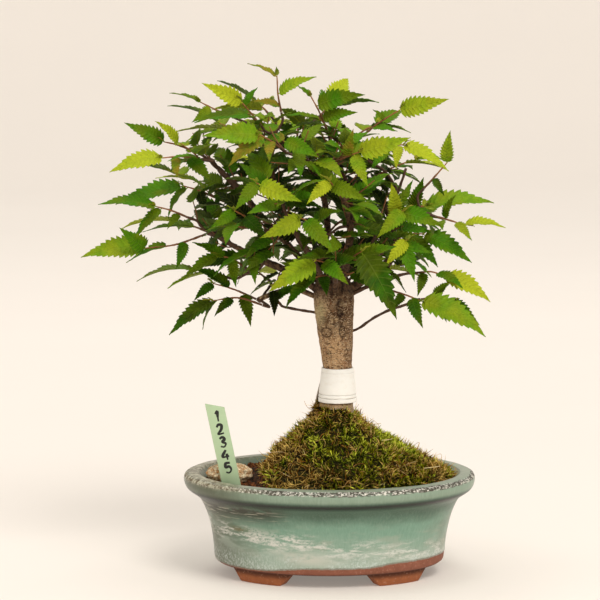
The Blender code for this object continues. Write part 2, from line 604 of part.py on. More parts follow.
class Wood:
    """The branching wood as a tree of spots, each with its parent."""

    def __init__(self):
        self.spots, self.parents, self.shoots = [], [], []

    def add(self, spot, parent):
        self.spots.append(spot)
        self.parents.append(parent)
        return len(self.spots) - 1

    def add_limb(self, points):
        last = None
        for spot in points:
            last = self.add(spot, last)

    def heading(self, index):
        parent = self.parents[index]
        if parent is None:
            return Vector((0, 0, 1))
        return (self.spots[index] - self.spots[parent]).normalized()

    def cost(self, index, target):
        """Length of a new branch, longer where it would turn back sharply."""
        way = target - self.spots[index]
        turn_back = 1.0 - way.normalized().dot(self.heading(index))
        return way.length * (1.0 + TURN_BACK_COST * turn_back)

    def add_branch(self, target, direction):
        """Branch from the handiest spot to a target, arriving along a direction."""
        candidates = [i for i, parent in enumerate(self.parents)
                      if parent is not None and i not in self.shoots]
        start = min(candidates, key=lambda i: self.cost(i, target))
        first = self.spots[start]
        reach = (target - first).length
        last = start
        before = target - direction * min(ARRIVAL, reach * ARRIVAL_SHARE)
        if reach > BENT_FROM:
            bend = first + (before - first) * 0.5 + self.heading(start) * reach * BEND_SHARE
            last = self.add(bend, last)
        if reach > JOINTED_FROM:
            last = self.add(before, last)
        self.shoots.append(self.add(target, last))

    def loads(self):
        """How many leafy ends each spot carries."""
        load = [0] * len(self.spots)
        for shoot in self.shoots:
            index = shoot
            while index is not None:
                load[index] += 1
                index = self.parents[index]
        return load

    def tubes(self):
        """Paths from each branching point out, with the radius at each spot."""
        load = self.loads()
        radius = [TWIG_END_RADIUS * max(1, n) ** TWIG_GROWTH for n in load]
        children = {}
        for index, parent in enumerate(self.parents):
            children.setdefault(parent, []).append(index)
        starts = [(root, None) for root in children[None]]
        paths = []
        while starts:
            index, foot_spot = starts.pop()
            path = [] if foot_spot is None else [foot_spot]
            while index is not None:
                path.append(index)
                following = sorted(children.get(index, []), key=lambda i: -load[i])
                starts += [(other, index) for other in following[1:]]
                index = following[0] if following else None
            radii = [radius[i] for i in path]
            if foot_spot is not None:
                radii[0] = radii[1]
            paths.append(([self.spots[i] for i in path], radii))
        return paths


def front_sprays():
    """Name, twig path and leaves of each spray that shows from the front."""
    for name, (twig, leaves) in FRONT_SPRAYS.items():
        path = [from_front(x, z, y) for x, z, y in twig]
        toward_eye = (EYE - path[0]).normalized()
        wanted = []
        for place, x, z, depth, turn in leaves:
            tip = from_front(x, z, twig[-1][2] + depth)
            facing = Vector((0, 0, 1)).lerp(toward_eye, turn)
            wanted.append((place, tip, facing, toward_eye))
        yield name, path, wanted


def back_sprays():
    """The same for the rest of the crown, by rule, in rows round the sides and back."""
    chance = random.Random(SEED)
    for row, (height, count, half_width) in enumerate(BACK_ROWS):
        for k in range(count):
            share = (k + 0.5 + chance.uniform(-0.12, 0.12)) / count
            turn = math.radians(BACK_TURN[0] + share * (BACK_TURN[1] - BACK_TURN[0]))
            way = Vector((math.cos(turn), CROWN_DEPTH_RATIO * math.sin(turn), 0.0))
            middle = Vector((CROWN_X, 0.0, height + chance.uniform(-6, 6)))
            rise = Vector((0, 0, BACK_RISE + BACK_ROW_RISE * row))
            start = middle + way * half_width * BACK_START
            path = [start, start + (way + rise) * half_width * BACK_MIDDLE,
                    start + (way + rise * 0.8) * half_width * BACK_REACH]
            outward = (way.normalized() + Vector((0, 0, 0.5))).normalized()
            twig_way = (path[-1] - path[0]).normalized()
            sideways = twig_way.cross(Vector((0, 0, 1))).normalized()
            wanted = []
            for n in range(BACK_LEAVES):
                place = 1.0 - BACK_LEAF_STEP * n
                side = (1 if n % 2 else -1) * BACK_LEAF_SPREAD[0 if n == 0 else 1]
                droop = Vector((0, 0, chance.uniform(-0.55, 0.05)))
                leaf_way = (twig_way + sideways * side + droop).normalized()
                length = chance.uniform(*BACK_LEAF_LENGTHS)
                base = point_along(path, place)
                facing = Vector((0, 0, 1)).lerp(outward, chance.uniform(0.2, 0.7))
                wanted.append((place, base + leaf_way * length, facing, outward))
            yield "back_row_{}_{}".format(row + 1, k + 1), path, wanted


def point_along(path, place):
    """Point at a share of the path's length, kept inside its last millimetre."""
    lengths = [(b - a).length for a, b in zip(path, path[1:])]
    left = min(place * sum(lengths), sum(lengths) - 0.8)
    for a, b, length in zip(path, path[1:], lengths):
        if left <= length:
            return a.lerp(b, left / length)
        left -= length
    return path[-1]


def limb_tube(path, radii, margin=0.0):
    sides = TWIG_SIDES + 1 if max(radii) > 2 * TWIG_END_RADIUS else TWIG_SIDES
    return tube(path, [r + margin for r in radii], sides)


def twig_tube(path, margin=0.0):
    last = len(path) - 1
    radii = [SPRAY_RADII[0] + (SPRAY_RADII[1] - SPRAY_RADII[0]) * k / last for k in range(last + 1)]
    return tube(path, [r + margin for r in radii], TWIG_SIDES)


def clear_twig(path, crowd, name):
    """A spray's twig, with its outer end swung aside in small steps until it stands clear."""
    for reach in TWIG_NUDGES:
        for swing in (Vector((0, reach, 0)), Vector((0, -reach, 0)), Vector((0, 0, reach))):
            path[1:] = [spot + swing * (k + 1) / (len(path) - 1) for k, spot in enumerate(path[1:])]
            if not crowd.touches(*twig_tube(path, GAP / 2), name):
                return twig_tube(path)
            path[1:] = [spot - swing * (k + 1) / (len(path) - 1) for k, spot in enumerate(path[1:])]
    return twig_tube(path)


def clear_leaf(base, tip, facing, shift_way, crowd, owner):
    """The wanted leaf, with its tip moved to and fro along a line until it stands clear."""
    length = (tip - base).length
    for nudge in LEAF_NUDGES:
        way = (tip + shift_way * nudge - base).normalized()
        leaf = Leaf(base, base + way * length, facing)
        if not crowd.touches(*leaf.plate(LEAF_THICKNESS + 2 * GAP), owner):
            return leaf
    return None


def plan_crown():
    """The wood, then each spray's twig and the leaves that stand clear of everything else."""
    sprays = list(front_sprays()) + list(back_sprays())
    wood = Wood()
    for points in LIMBS.values():
        wood.add_limb([from_front(x, z, y) for x, z, y in points])
    fork = Vector((TRUNK_X, 0, TRUNK[-1][0]))
    for name, path, wanted in sorted(sprays, key=lambda spray: (spray[1][0] - fork).length):
        wood.add_branch(path[0], (path[1] - path[0]).normalized())
    crowd = Crowd()
    trunk_path = [Vector((x, 0, z)) for z, x, r in TRUNK]
    crowd.add("wood", *tube(trunk_path, [r + GAP for z, x, r in TRUNK], TRUNK_SIDES))
    for path, radii in wood.tubes():
        crowd.add("wood", *limb_tube(path, radii, GAP / 2))
    twigs = {}
    for name, path, wanted in sprays:
        path[0] = path[0] + (path[1] - path[0]).normalized() * GAP
        twigs[name] = clear_twig(path, crowd, name)
        crowd.add(name, *twigs[name])
    leaves = {}
    for name, path, wanted in sprays:
        leaves[name] = []
        for place, tip, facing, shift_way in wanted:
            leaf = clear_leaf(point_along(path, place), tip, facing, shift_way, crowd, name)
            if leaf:
                crowd.add(name + " leaf", *leaf.plate(LEAF_THICKNESS + 2 * GAP))
                leaves[name].append(leaf)
    return wood, twigs, leaves


def make_wood(wood, frame):
    """Stump, trunk, limbs and twigs as one grown piece."""
    trunk_path = [Vector((x, 0, z)) for z, x, r in TRUNK]
    trunk = add_object("tree_wood", "bark", *tube(trunk_path, [r for z, x, r in TRUNK], TRUNK_SIDES),
                       frame, smooth_angle=60)
    limbs = []
    for path, radii in wood.tubes():
        limbs.append(add_object("limb", None, *limb_tube(path, radii), frame))
    join_all(trunk, limbs, "UNION", WOOD_SOLVER)


def make_spray(name, twig, leaves, frame):
    """One leafy shoot: its leaves are rooted in the middle of its twig."""
    spray = add_object("spray_" + name, "leaf", *twig, frame, smooth_angle=40)
    blades = [add_object("blade", None, *leaf.plate(LEAF_THICKNESS), frame) for leaf in leaves]
    if blades:
        join_all(spray, blades, "UNION")


def ramp(value, start, end):
    return min(1.0, max(0.0, (value - start) / (end - start)))


def make_band(frame):
    """A plastic strip wrapped over itself, its last stretch standing off at the left."""
    steps = BAND_STEPS
    sections = []
    for k in range(steps + 1):
        share = k / steps
        turn = math.radians(BAND_START + share * BAND_TURN)
        lap = BAND_LAP * ramp(share, *BAND_RISE)
        low = BAND_RADIUS_BOTTOM + lap + BAND_LOOSE[1] * ramp(share, BAND_LOOSE[0], 1.0)
        high = BAND_RADIUS_TOP + lap
        section = []
        for reach, z in ((low, BAND_BOTTOM), (high, BAND_TOP), (high + BAND_THICKNESS, BAND_TOP),
                         (low + BAND_THICKNESS, BAND_BOTTOM)):
            section.append((BAND_X + reach * math.cos(turn), reach * math.sin(turn), z))
        sections.append(section)
    points, faces = loft(sections)
    add_object("trunk_band", "white_plastic", points, faces, frame, smooth_angle=40)


def label_axes():
    """Top of the label, and the directions down, across and out of it."""
    top, at_soil = from_front(*LABEL_TOP), from_front(*LABEL_AT_SOIL)
    down = (at_soil - top).normalized()
    across = Vector((1, 0, 0)).lerp(Vector((0, -1, 0)), math.sin(math.radians(LABEL_TURN)))
    across = (across - down * across.dot(down)).normalized()
    return top, down, across, across.cross(down)


def label_solid(margin):
    top, down, across, out = label_axes()
    half = LABEL_WIDTH / 2 + margin
    thick = LABEL_THICKNESS / 2 + margin
    outline = [(-half, -LABEL_SLANT), (half, LABEL_SLANT), (half, LABEL_LENGTH - LABEL_POINT),
               (1.0, LABEL_LENGTH + margin), (-1.0, LABEL_LENGTH + margin),
               (-half, LABEL_LENGTH - LABEL_POINT)]
    rings = [[top + across * a + down * d + out * side * thick for a, d in outline]
             for side in (-1, 1)]
    return loft(rings)


def label_slot(frame):
    return add_object("slot", None, *label_solid(GAP + 0.1), frame)


def make_label(frame):
    add_object("plant_label", "label_plastic", *label_solid(0.0), frame)


def make_ball(frame):
    """A pressed lump of fertiliser with a rough skin and a flat spot to lie on."""
    shape = bmesh.new()
    bmesh.ops.create_icosphere(shape, subdivisions=2, radius=1.0)
    floor = BALL_REST - BALL_CENTRE[2]
    for vert in shape.verts:
        p = vert.co.copy()
        rough = 1.0 + BALL_BUMPS[0] * math.sin(7 * p.x + 2) * math.cos(6 * p.y)
        rough += BALL_BUMPS[1] * math.sin(11 * p.z + 5 * p.x)
        p = Vector((p.x * BALL_SIZE[0], p.y * BALL_SIZE[1], p.z * BALL_SIZE[2])) * rough
        p.z = max(p.z, floor)
        vert.co = Vector(metres(Vector(BALL_CENTRE) + p))
    mesh = bpy.data.meshes.new("fertiliser_ball")
    shape.to_mesh(mesh)
    shape.free()
    mesh.shade_smooth()
    mesh.materials.append(make_material("fertiliser_ball", "fertiliser"))
    ball = bpy.data.objects.new("fertiliser_ball", mesh)
    bpy.context.scene.collection.objects.link(ball)
    ball.parent = frame


def main():
    clear_scene()
    frame = make_frame()
    make_pot(frame)
    for side in (-1, 1):
        make_drain_mesh(side, frame)
    make_soil(frame)
    make_moss(frame)
    make_band(frame)
    make_label(frame)
    make_ball(frame)
    wood, twigs, leaves = plan_crown()
    make_wood(wood, frame)
    for name, twig in twigs.items():
        make_spray(name, twig, leaves[name], frame)


main()
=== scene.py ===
"""Zelkova bonsai in an oval glazed pot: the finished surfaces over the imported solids.

Sizes are named in millimetres from the pot's centre, x to the right, y away from the front, z up
from the surface that the feet stand on. They become metres in the shared frame where a mesh is
made. The crown's places repeat the rules by which the solids were laid out, so that every fine
leaf lies where its plain one does.
"""
import json
import math
import random

import bmesh
import bpy
import numpy as np
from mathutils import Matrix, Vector, noise
from mathutils.bvhtree import BVHTree

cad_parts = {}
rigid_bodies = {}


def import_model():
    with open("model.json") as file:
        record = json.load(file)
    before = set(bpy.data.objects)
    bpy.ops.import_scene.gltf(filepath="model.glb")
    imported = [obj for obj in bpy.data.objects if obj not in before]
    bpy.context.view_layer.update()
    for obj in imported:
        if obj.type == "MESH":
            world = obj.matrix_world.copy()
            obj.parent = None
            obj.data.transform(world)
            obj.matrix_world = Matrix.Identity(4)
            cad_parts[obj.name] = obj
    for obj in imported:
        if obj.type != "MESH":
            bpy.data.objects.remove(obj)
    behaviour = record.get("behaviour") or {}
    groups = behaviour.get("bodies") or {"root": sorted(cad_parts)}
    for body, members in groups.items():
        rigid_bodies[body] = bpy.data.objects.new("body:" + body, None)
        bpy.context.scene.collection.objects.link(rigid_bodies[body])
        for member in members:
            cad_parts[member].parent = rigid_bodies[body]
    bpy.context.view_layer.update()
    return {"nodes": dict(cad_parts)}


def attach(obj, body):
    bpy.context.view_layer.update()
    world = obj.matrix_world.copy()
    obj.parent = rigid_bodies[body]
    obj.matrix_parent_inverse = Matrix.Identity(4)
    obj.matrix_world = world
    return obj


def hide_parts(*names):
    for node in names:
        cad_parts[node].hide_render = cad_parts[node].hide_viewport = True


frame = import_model()

MM = 0.001
POT_CENTRE = (24.9, -11.8, 0.0)
GAP = 0.3
UP = Vector((0, 0, 1))
# Seeds of what is strewn or varied. Each leafy spray has its own, counted on from the last one, and
# each kind of moss has its own in its row.
SEEDS = {"moss": 3, "straws": 23, "grains": 7, "back": 11, "twigs": 5, "shoots": 3, "fill": 29,
         "inner_shoots": 9, "inner_leaves": 100, "spray_leaves": 200}
# Degrees up to which the faces of a piece are shaded as one surface
SMOOTH = {"pot": 42, "moss_bed": 60, "strands": 80, "straws": 60, "grains": 50, "band": 35,
          "label": 40, "ball": 60, "trunk": 180, "twigs": 60, "leaves": 50}

# Pot: half-length and height of each ring; the half-width is less by POT_LENGTH_EXTRA
POT_HALF_LENGTH, POT_HALF_WIDTH, POT_HEIGHT = 100.0, 80.0, 70.7
POT_LENGTH_EXTRA = POT_HALF_LENGTH - POT_HALF_WIDTH
POT_OUTSIDE = [(76.3, 9.0), (78.3, 10.4), (79.0, 13.5), (79.4, 20.0), (80.8, 30.0), (82.8, 38.6),
               (86.0, 47.4), (90.2, 54.5), (93.8, 57.2), (98.0, 60.5), (POT_HALF_LENGTH, 66.0),
               (99.0, 69.4), (96.5, POT_HEIGHT)]
POT_INSIDE = [(90.0, POT_HEIGHT), (88.3, 69.0), (83.0, 60.0), (79.5, 48.0), (75.0, 30.0),
              (71.5, 19.0), (66.0, 15.0)]
POT_SIDES, POT_STEP = 144, 1.1
POT_WAVES = ((0.35, 38.0), (0.12, 9.0))                # height and size of the wall's unevenness
FOOT_ARC_BOTTOM, FOOT_ARC_TOP = (34.0, 62.5), (28.5, 69.5)
FOOT_BOTTOM, FOOT_TOP = (73.5, 64.0, 0.0), (76.0, 61.0, 10.0)    # outer and inner reach, height
FOOT_STEPS, FOOT_BEVEL = 16, (1.0, 2, 40)              # bevel: width, segments and least angle
DRAIN_X, DRAIN_RADIUS, DRAIN_CUT = 32.0, 6.0, (5.0, 20.0)

# Glaze, its lower edge's height, and by how much and over which x that rises and falls
GLAZE_THICKNESS, GLAZE_EDGE = 0.35, 0.4
PLAIN_BELOW, LIP_WAVE, LIP_WAVE_FROM = (9.5, 13.0), (0.2, 30.0), (50.0, 66.0)
GLAZE_LINE, GLAZE_RISE, GLAZE_FALL = 13.9, (2.2, 24.0, 45.0), (3.3, 10.0, 55.0)
GLAZE_LINE_INSIDE = 61.0
INSIDE_REACH, INSIDE_BOTTOM, WALL_LEAST = 91.0, 14.9, 3.0
UNDER_REACH, UNDER_TOP, ALL_BARE = 75.5, 12.0, 40.0
LIP_EDGE, LIP_EDGE_REACH, LIP_EDGE_FULL = (98.8, 69.2), 2.1, 1.4     # where the lip is worn
LIP_TOP_START, LIP_TOP_END = (68.6, 1.6), (98.6, 2.0)  # height and reach, each with its soft edge

# Soil, moss and grains
TRUNK_X, HOLE_RADIUS = 4.3, 13.9
SOIL_PEAK, SOIL_EDGE, SOIL_EDGE_HALF_LENGTH = 109.5, 66.0, 85.4
SOIL_RIGHT_DROP, SOIL_LEFT_FOOT = 6.0, 0.55
SOIL_SLOPE, SOIL_LEFT_SLOPE, SOIL_RIGHT_SLOPE = 1.15, 0.95, 1.0
MOSS_REACH, MOSS_LEFT_EDGE, MOSS_EDGE_WAVE = 0.98, -41.0, 4.0
MOSS_THICKNESS, MOSS_LEAST = 0.9, 0.4
CUSHION_HEIGHTS = (0.6, 0.4)
CUSHION_WAVES = (0.21, 0.26, 0.43, 0.31)               # radians for each millimetre
TUFTS = ((1.3, 3.0, 12.0), (0.9, 7.0, 5.0))            # height, level in the noise, and size
MOSS_EDGE_SOFT, MOSS_EDGE_LEAST = (1.02, 0.90), 0.35   # where the moss thins, and to what share
MOSS_COLLAR, MOSS_COLLAR_REACH = 5.6, 0.10             # rise against the trunk, and from where
COLLAR_CROWDING = 3.0
MOSS_BED_LAYERS, MOSS_SIDES, MOSS_STEPS = 8, 180, 46
MOSS_TUFTS, TUFT_SUNK, TUFT_SPREAD = 2900, 0.9, 0.55
TUFT_LENGTHS, TUFT_TONE_STRAY = (0.7, 1.25), 0.14      # share of the kind's lengths
STRAND_LEAN = (0.8, 0.7)                               # least, and most over the kind's spread
STRAND_BEND = (0.6, 0.5, 0.4)                          # outward, astray and down, by the curl
# Strands of each kind: seed, number in a tuft, lengths, widths, spread and curl, and the colours of
# the foot, the middle and the tip
MOSS_KINDS = {
    "green": (4, 10, (2.8, 5.4), (0.5, 0.95), 1.5, 0.5, ((7, 9, 0), (44, 54, 2), (150, 150, 14))),
    "bright": (5, 10, (2.8, 5.8), (0.45, 0.9), 1.5, 0.5,
               ((20, 26, 0), (98, 120, 4), (232, 238, 80))),
    "brown": (6, 10, (2.8, 5.8), (0.35, 0.62), 2.6, 1.3,
              ((28, 15, 0), (124, 75, 10), (250, 212, 116))),
}
# A strand's rows of points, as the place along it and the edges in half-widths
STRAND_ROWS = ((0.0, (-0.8, 0.8)), (0.35, (-1.0, 1.0)), (0.7, (-0.75, 0.75)), (1.0, (0.0,)))
STRAND_FACES = ((0, 1, 3, 2), (2, 3, 5, 4), (4, 5, 6))
STRAWS, STOUT_STRAWS, STRAW_SIDES, STRAW_STEP = 150, 12, 5, 0.9
STOUT_STRAW = {"lengths": (7.0, 12.0), "bend": 0.05, "lift": 2.2, "sag": 0.0, "radius": 0.36,
               "tones": (0.7, 1.0)}
FINE_STRAW = {"lengths": (6.0, 13.0), "bend": 0.5, "lift": 0.5, "sag": 0.25, "radius": 0.20,
              "tones": (0.0, 0.6)}
STOUT_RISE, FINE_RISE = 0.15, (0.3, 1.3)
STRAW_COLOURS = ((110, 72, 22), (176, 118, 44), (250, 232, 176))
GRAINS, GRAIN_SIZES, GRAINS_END = 900, (0.5, 1.25), 0.985
GRAINS_UNDER_MOSS, FEW_GRAINS = 0.02, (0.97, 0.8)      # few where the moss reaches the pot's edge
GRAIN_STRETCH, GRAIN_BUMPS = (0.7, 1.3), (0.5, 1.3)

# Trunk: height, centre x and radius
TRUNK_SIDES = 12
TRUNK = [(50.0, TRUNK_X, 12.0), (80.0, TRUNK_X, 12.9), (104.0, TRUNK_X, 13.0),
         (113.0, 4.3, 12.2), (117.0, 4.5, 11.7), (130.0, 5.1, 10.4), (142.0, 5.5, 9.8),
         (150.0, 5.0, 10.5), (160.0, 4.5, 11.5), (170.0, 3.8, 12.3), (180.0, 3.3, 13.2),
         (190.0, 2.8, 13.7), (200.0, 2.5, 12.6), (207.0, 2.5, 9.0)]
WOOD_VOXEL, WOOD_STEP, WOOD_EASE = 0.62, 2.0, (0.5, 5)
FINE_TRUNK_SIDES, FINE_LIMB_SIDES = 48, 10
THICK_RADIUS = 1.5                                     # wood this thick is grown into one piece
BARK_WAVES = ((0.30, 5.0), (0.22, 2.0))
BARK_STREAKS, STREAKS_END = (0.30, 0.35, 2.6), (198.0, 188.0)    # height, squeeze upward and size
# Cleft that runs up to the fork, and the shade about it and in the fork
CLEFT_X, CLEFT_SWAY, CLEFT_DEPTH = 6.6, 0.9, 0.9
CLEFT_WIDTH, CLEFT_RISE = 1.3, (171.0, 182.0)
CLEFT_SHADE_WIDTH, CLEFT_SHADE_RISE, CLEFT_SHADE = 4.6, (158.0, 186.0), (0.62, 0.9, 3.0)
FORK_SHADE, FORK_SHADE_RISE = 0.9, (190.0, 199.0)
# A scar's raised rim and its sunk middle, as height and reach, and how they vary
SCAR_RIM, SCAR_DIP, SCAR_CHANGE = (0.5, 0.28), (0.3, 0.6), (0.8, 0.9, 2.4)
SCARS = [(-2.0, 168.6, 3.3, 3.0), (8.5, 169.2, 1.8, 3.5), (-0.6, 154.5, 1.5, 1.3),
         (7.0, 182.0, 1.8, 2.2)]                       # middle x and z, half-width and half-height

# Plastic strip round the trunk: turns in degrees, places along the strip as shares of it
BAND_BOTTOM, BAND_TOP = 119.6, 143.0
BAND_X, BAND_RADII, BAND_THICKNESS = 5.5, (12.7, 10.2), 0.8
BAND_STEPS, BAND_START, BAND_TURN = 220, 100.0, 410.0
BAND_LAP, BAND_RISE = 1.2, (0.70, 0.78)
# The last of these: shares of the strip over which painted shade comes on along the loose end
BAND_LOOSE, BAND_DROP, BAND_END_SHADE = (0.89, 4.2), 5.0, (0.86, 0.93)
BAND_GROOVES = (122.6, 125.0)
# Heights about a groove's middle, and the strip's thickness there as a share
BAND_GROOVE = ((-0.6, 1.0), (-0.15, 0.55), (0.15, 0.55), (0.6, 1.0))

# Plant label
LABEL_WIDTH, LABEL_THICKNESS, LABEL_LENGTH, LABEL_POINT = 12.6, 0.8, 70.0, 9.0
LABEL_TOP, LABEL_AT_SOIL = (-79.0, 116.5, -31.0), (-67.4, 60.5, -31.0)
LABEL_TURN, LABEL_SLANT, LABEL_TIP, LABEL_BEVEL = 6.0, 2.4, 1.0, (0.22, 3, 30)
# Digits 1 to 5 as strokes in a box one wide and one tall
DIGITS = [
    [[(0.30, 0.78), (0.56, 1.0), (0.52, 0.5), (0.50, 0.0)]],
    [[(0.15, 0.75), (0.35, 0.98), (0.72, 0.90), (0.66, 0.55), (0.15, 0.05), (0.85, 0.08)]],
    [[(0.18, 0.88), (0.55, 1.0), (0.76, 0.78), (0.45, 0.55), (0.80, 0.32), (0.55, 0.02),
      (0.15, 0.12)]],
    [[(0.62, 1.0), (0.12, 0.36), (0.90, 0.34)], [(0.66, 0.62), (0.62, 0.0)]],
    [[(0.80, 0.98), (0.26, 0.95), (0.22, 0.60), (0.62, 0.62), (0.80, 0.30), (0.50, 0.0),
      (0.14, 0.10)]],
]
DIGIT_WIDTH, DIGIT_HEIGHT, DIGIT_PITCH, DIGITS_START, DIGITS_ASIDE = 5.8, 6.9, 9.0, 4.4, 0.4
STROKE_WIDTH, STROKE_HEIGHT, STROKE_LIFT, STROKE_SIDES, STROKE_STEP = 2.1, 0.10, 0.02, 8, 0.5

# Fertiliser ball: half-sizes, and depths of its skin's waves and lumps as shares of the radius
BALL_CENTRE, BALL_SIZE = (-68.4, -15.5, 72.0), (15.4, 11.0, 7.6)
BALL_BUMPS, BALL_LUMPS = (0.035, 0.03), (0.05, 0.035)

# Where the viewer in front of the object stands
EYE = Vector((-20.3, -2200.0, 475.0))
AIM = Vector((-20.3, 0.0, 189.5))
LENS, SENSOR = 194.5, 36.0

# Stage and lamps, in metres; a lamp has its place, size, power and colour
STAGE_RADIUS, STAGE_CURVE, STAGE_HEIGHT, STAGE_SIDES, STAGE_TURNS = 4.2, 1.3, 1.6, 96, 15
STAGE_GLOW, STAGE_GLOW_REACH = (0.22, 0.31), (300.0, 1500.0)     # the reach in millimetres
WORLD_COLOUR, WORLD_STRENGTH = (1.0, 0.98, 0.95, 1.0), 0.55
LAMPS = {"key": ((0.9, -2.0, 2.6), 1.3, 62.0, (1.0, 0.98, 0.95)),
         "top": ((-0.3, 0.2, 3.0), 1.6, 30.0, (1.0, 0.98, 0.96))}
LAMP_AIM = (0.0, 0.0, 0.18)

# Limbs that leave the fork, and two low twigs, as (x, z, depth) on the sight lines
LIMBS = {
    "leader": [(4, 194, 0), (10, 215, 2), (15, 240, 4), (13, 264, 4), (6, 284, 0), (0, 298, -4)],
    "left_leader": [(0, 194, 0), (-12, 216, -4), (-26, 240, -4), (-36, 264, -2), (-40, 286, 0),
                    (-37, 304, 0)],
    "left_high": [(-2, 194, 2), (-20, 218, 4), (-42, 242, 6), (-62, 266, 8), (-80, 284, 8)],
    "left_low": [(-3, 192, 0), (-22, 206, -2), (-44, 216, -2), (-64, 226, 0), (-82, 235, 0)],
    "left_skirt": [(-4, 188, 2), (-20, 196, 4), (-36, 195, 4), (-48, 190, 2)],
    "right_high": [(7, 194, 0), (22, 216, -4), (36, 240, -8), (46, 262, -8), (52, 280, -6)],
    "right_low": [(8, 192, 2), (26, 206, 4), (40, 216, 4)],
    "right_skirt": [(9, 190, 0), (24, 198, 2), (40, 204, 2), (56, 208, 0)],
    "back_left": [(0, 196, 4), (-14, 222, 26), (-32, 248, 48), (-46, 268, 62)],
    "back_right": [(6, 196, 4), (18, 222, 26), (34, 246, 46), (46, 264, 58)],
    "back_low": [(2, 194, 6), (-2, 210, 34), (-8, 222, 58), (-14, 232, 76)],
    "front_left": [(0, 196, -4), (-14, 222, -24), (-27, 242, -38), (-31, 252, -48)],
    "front_right": [(6, 196, -4), (12, 220, -24), (14, 240, -38), (13, 250, -45)],
    "front_low": [(3, 194, -5), (4, 202, -22), (5, 207, -36)],
    "low_left": [(-4, 180, 0), (-17, 182, 0), (-28, 184, 2)],
    "low_right": [(8, 166, 0), (18, 169, 2), (30, 177, 4), (42, 183, 6), (54, 187, 8)],
}

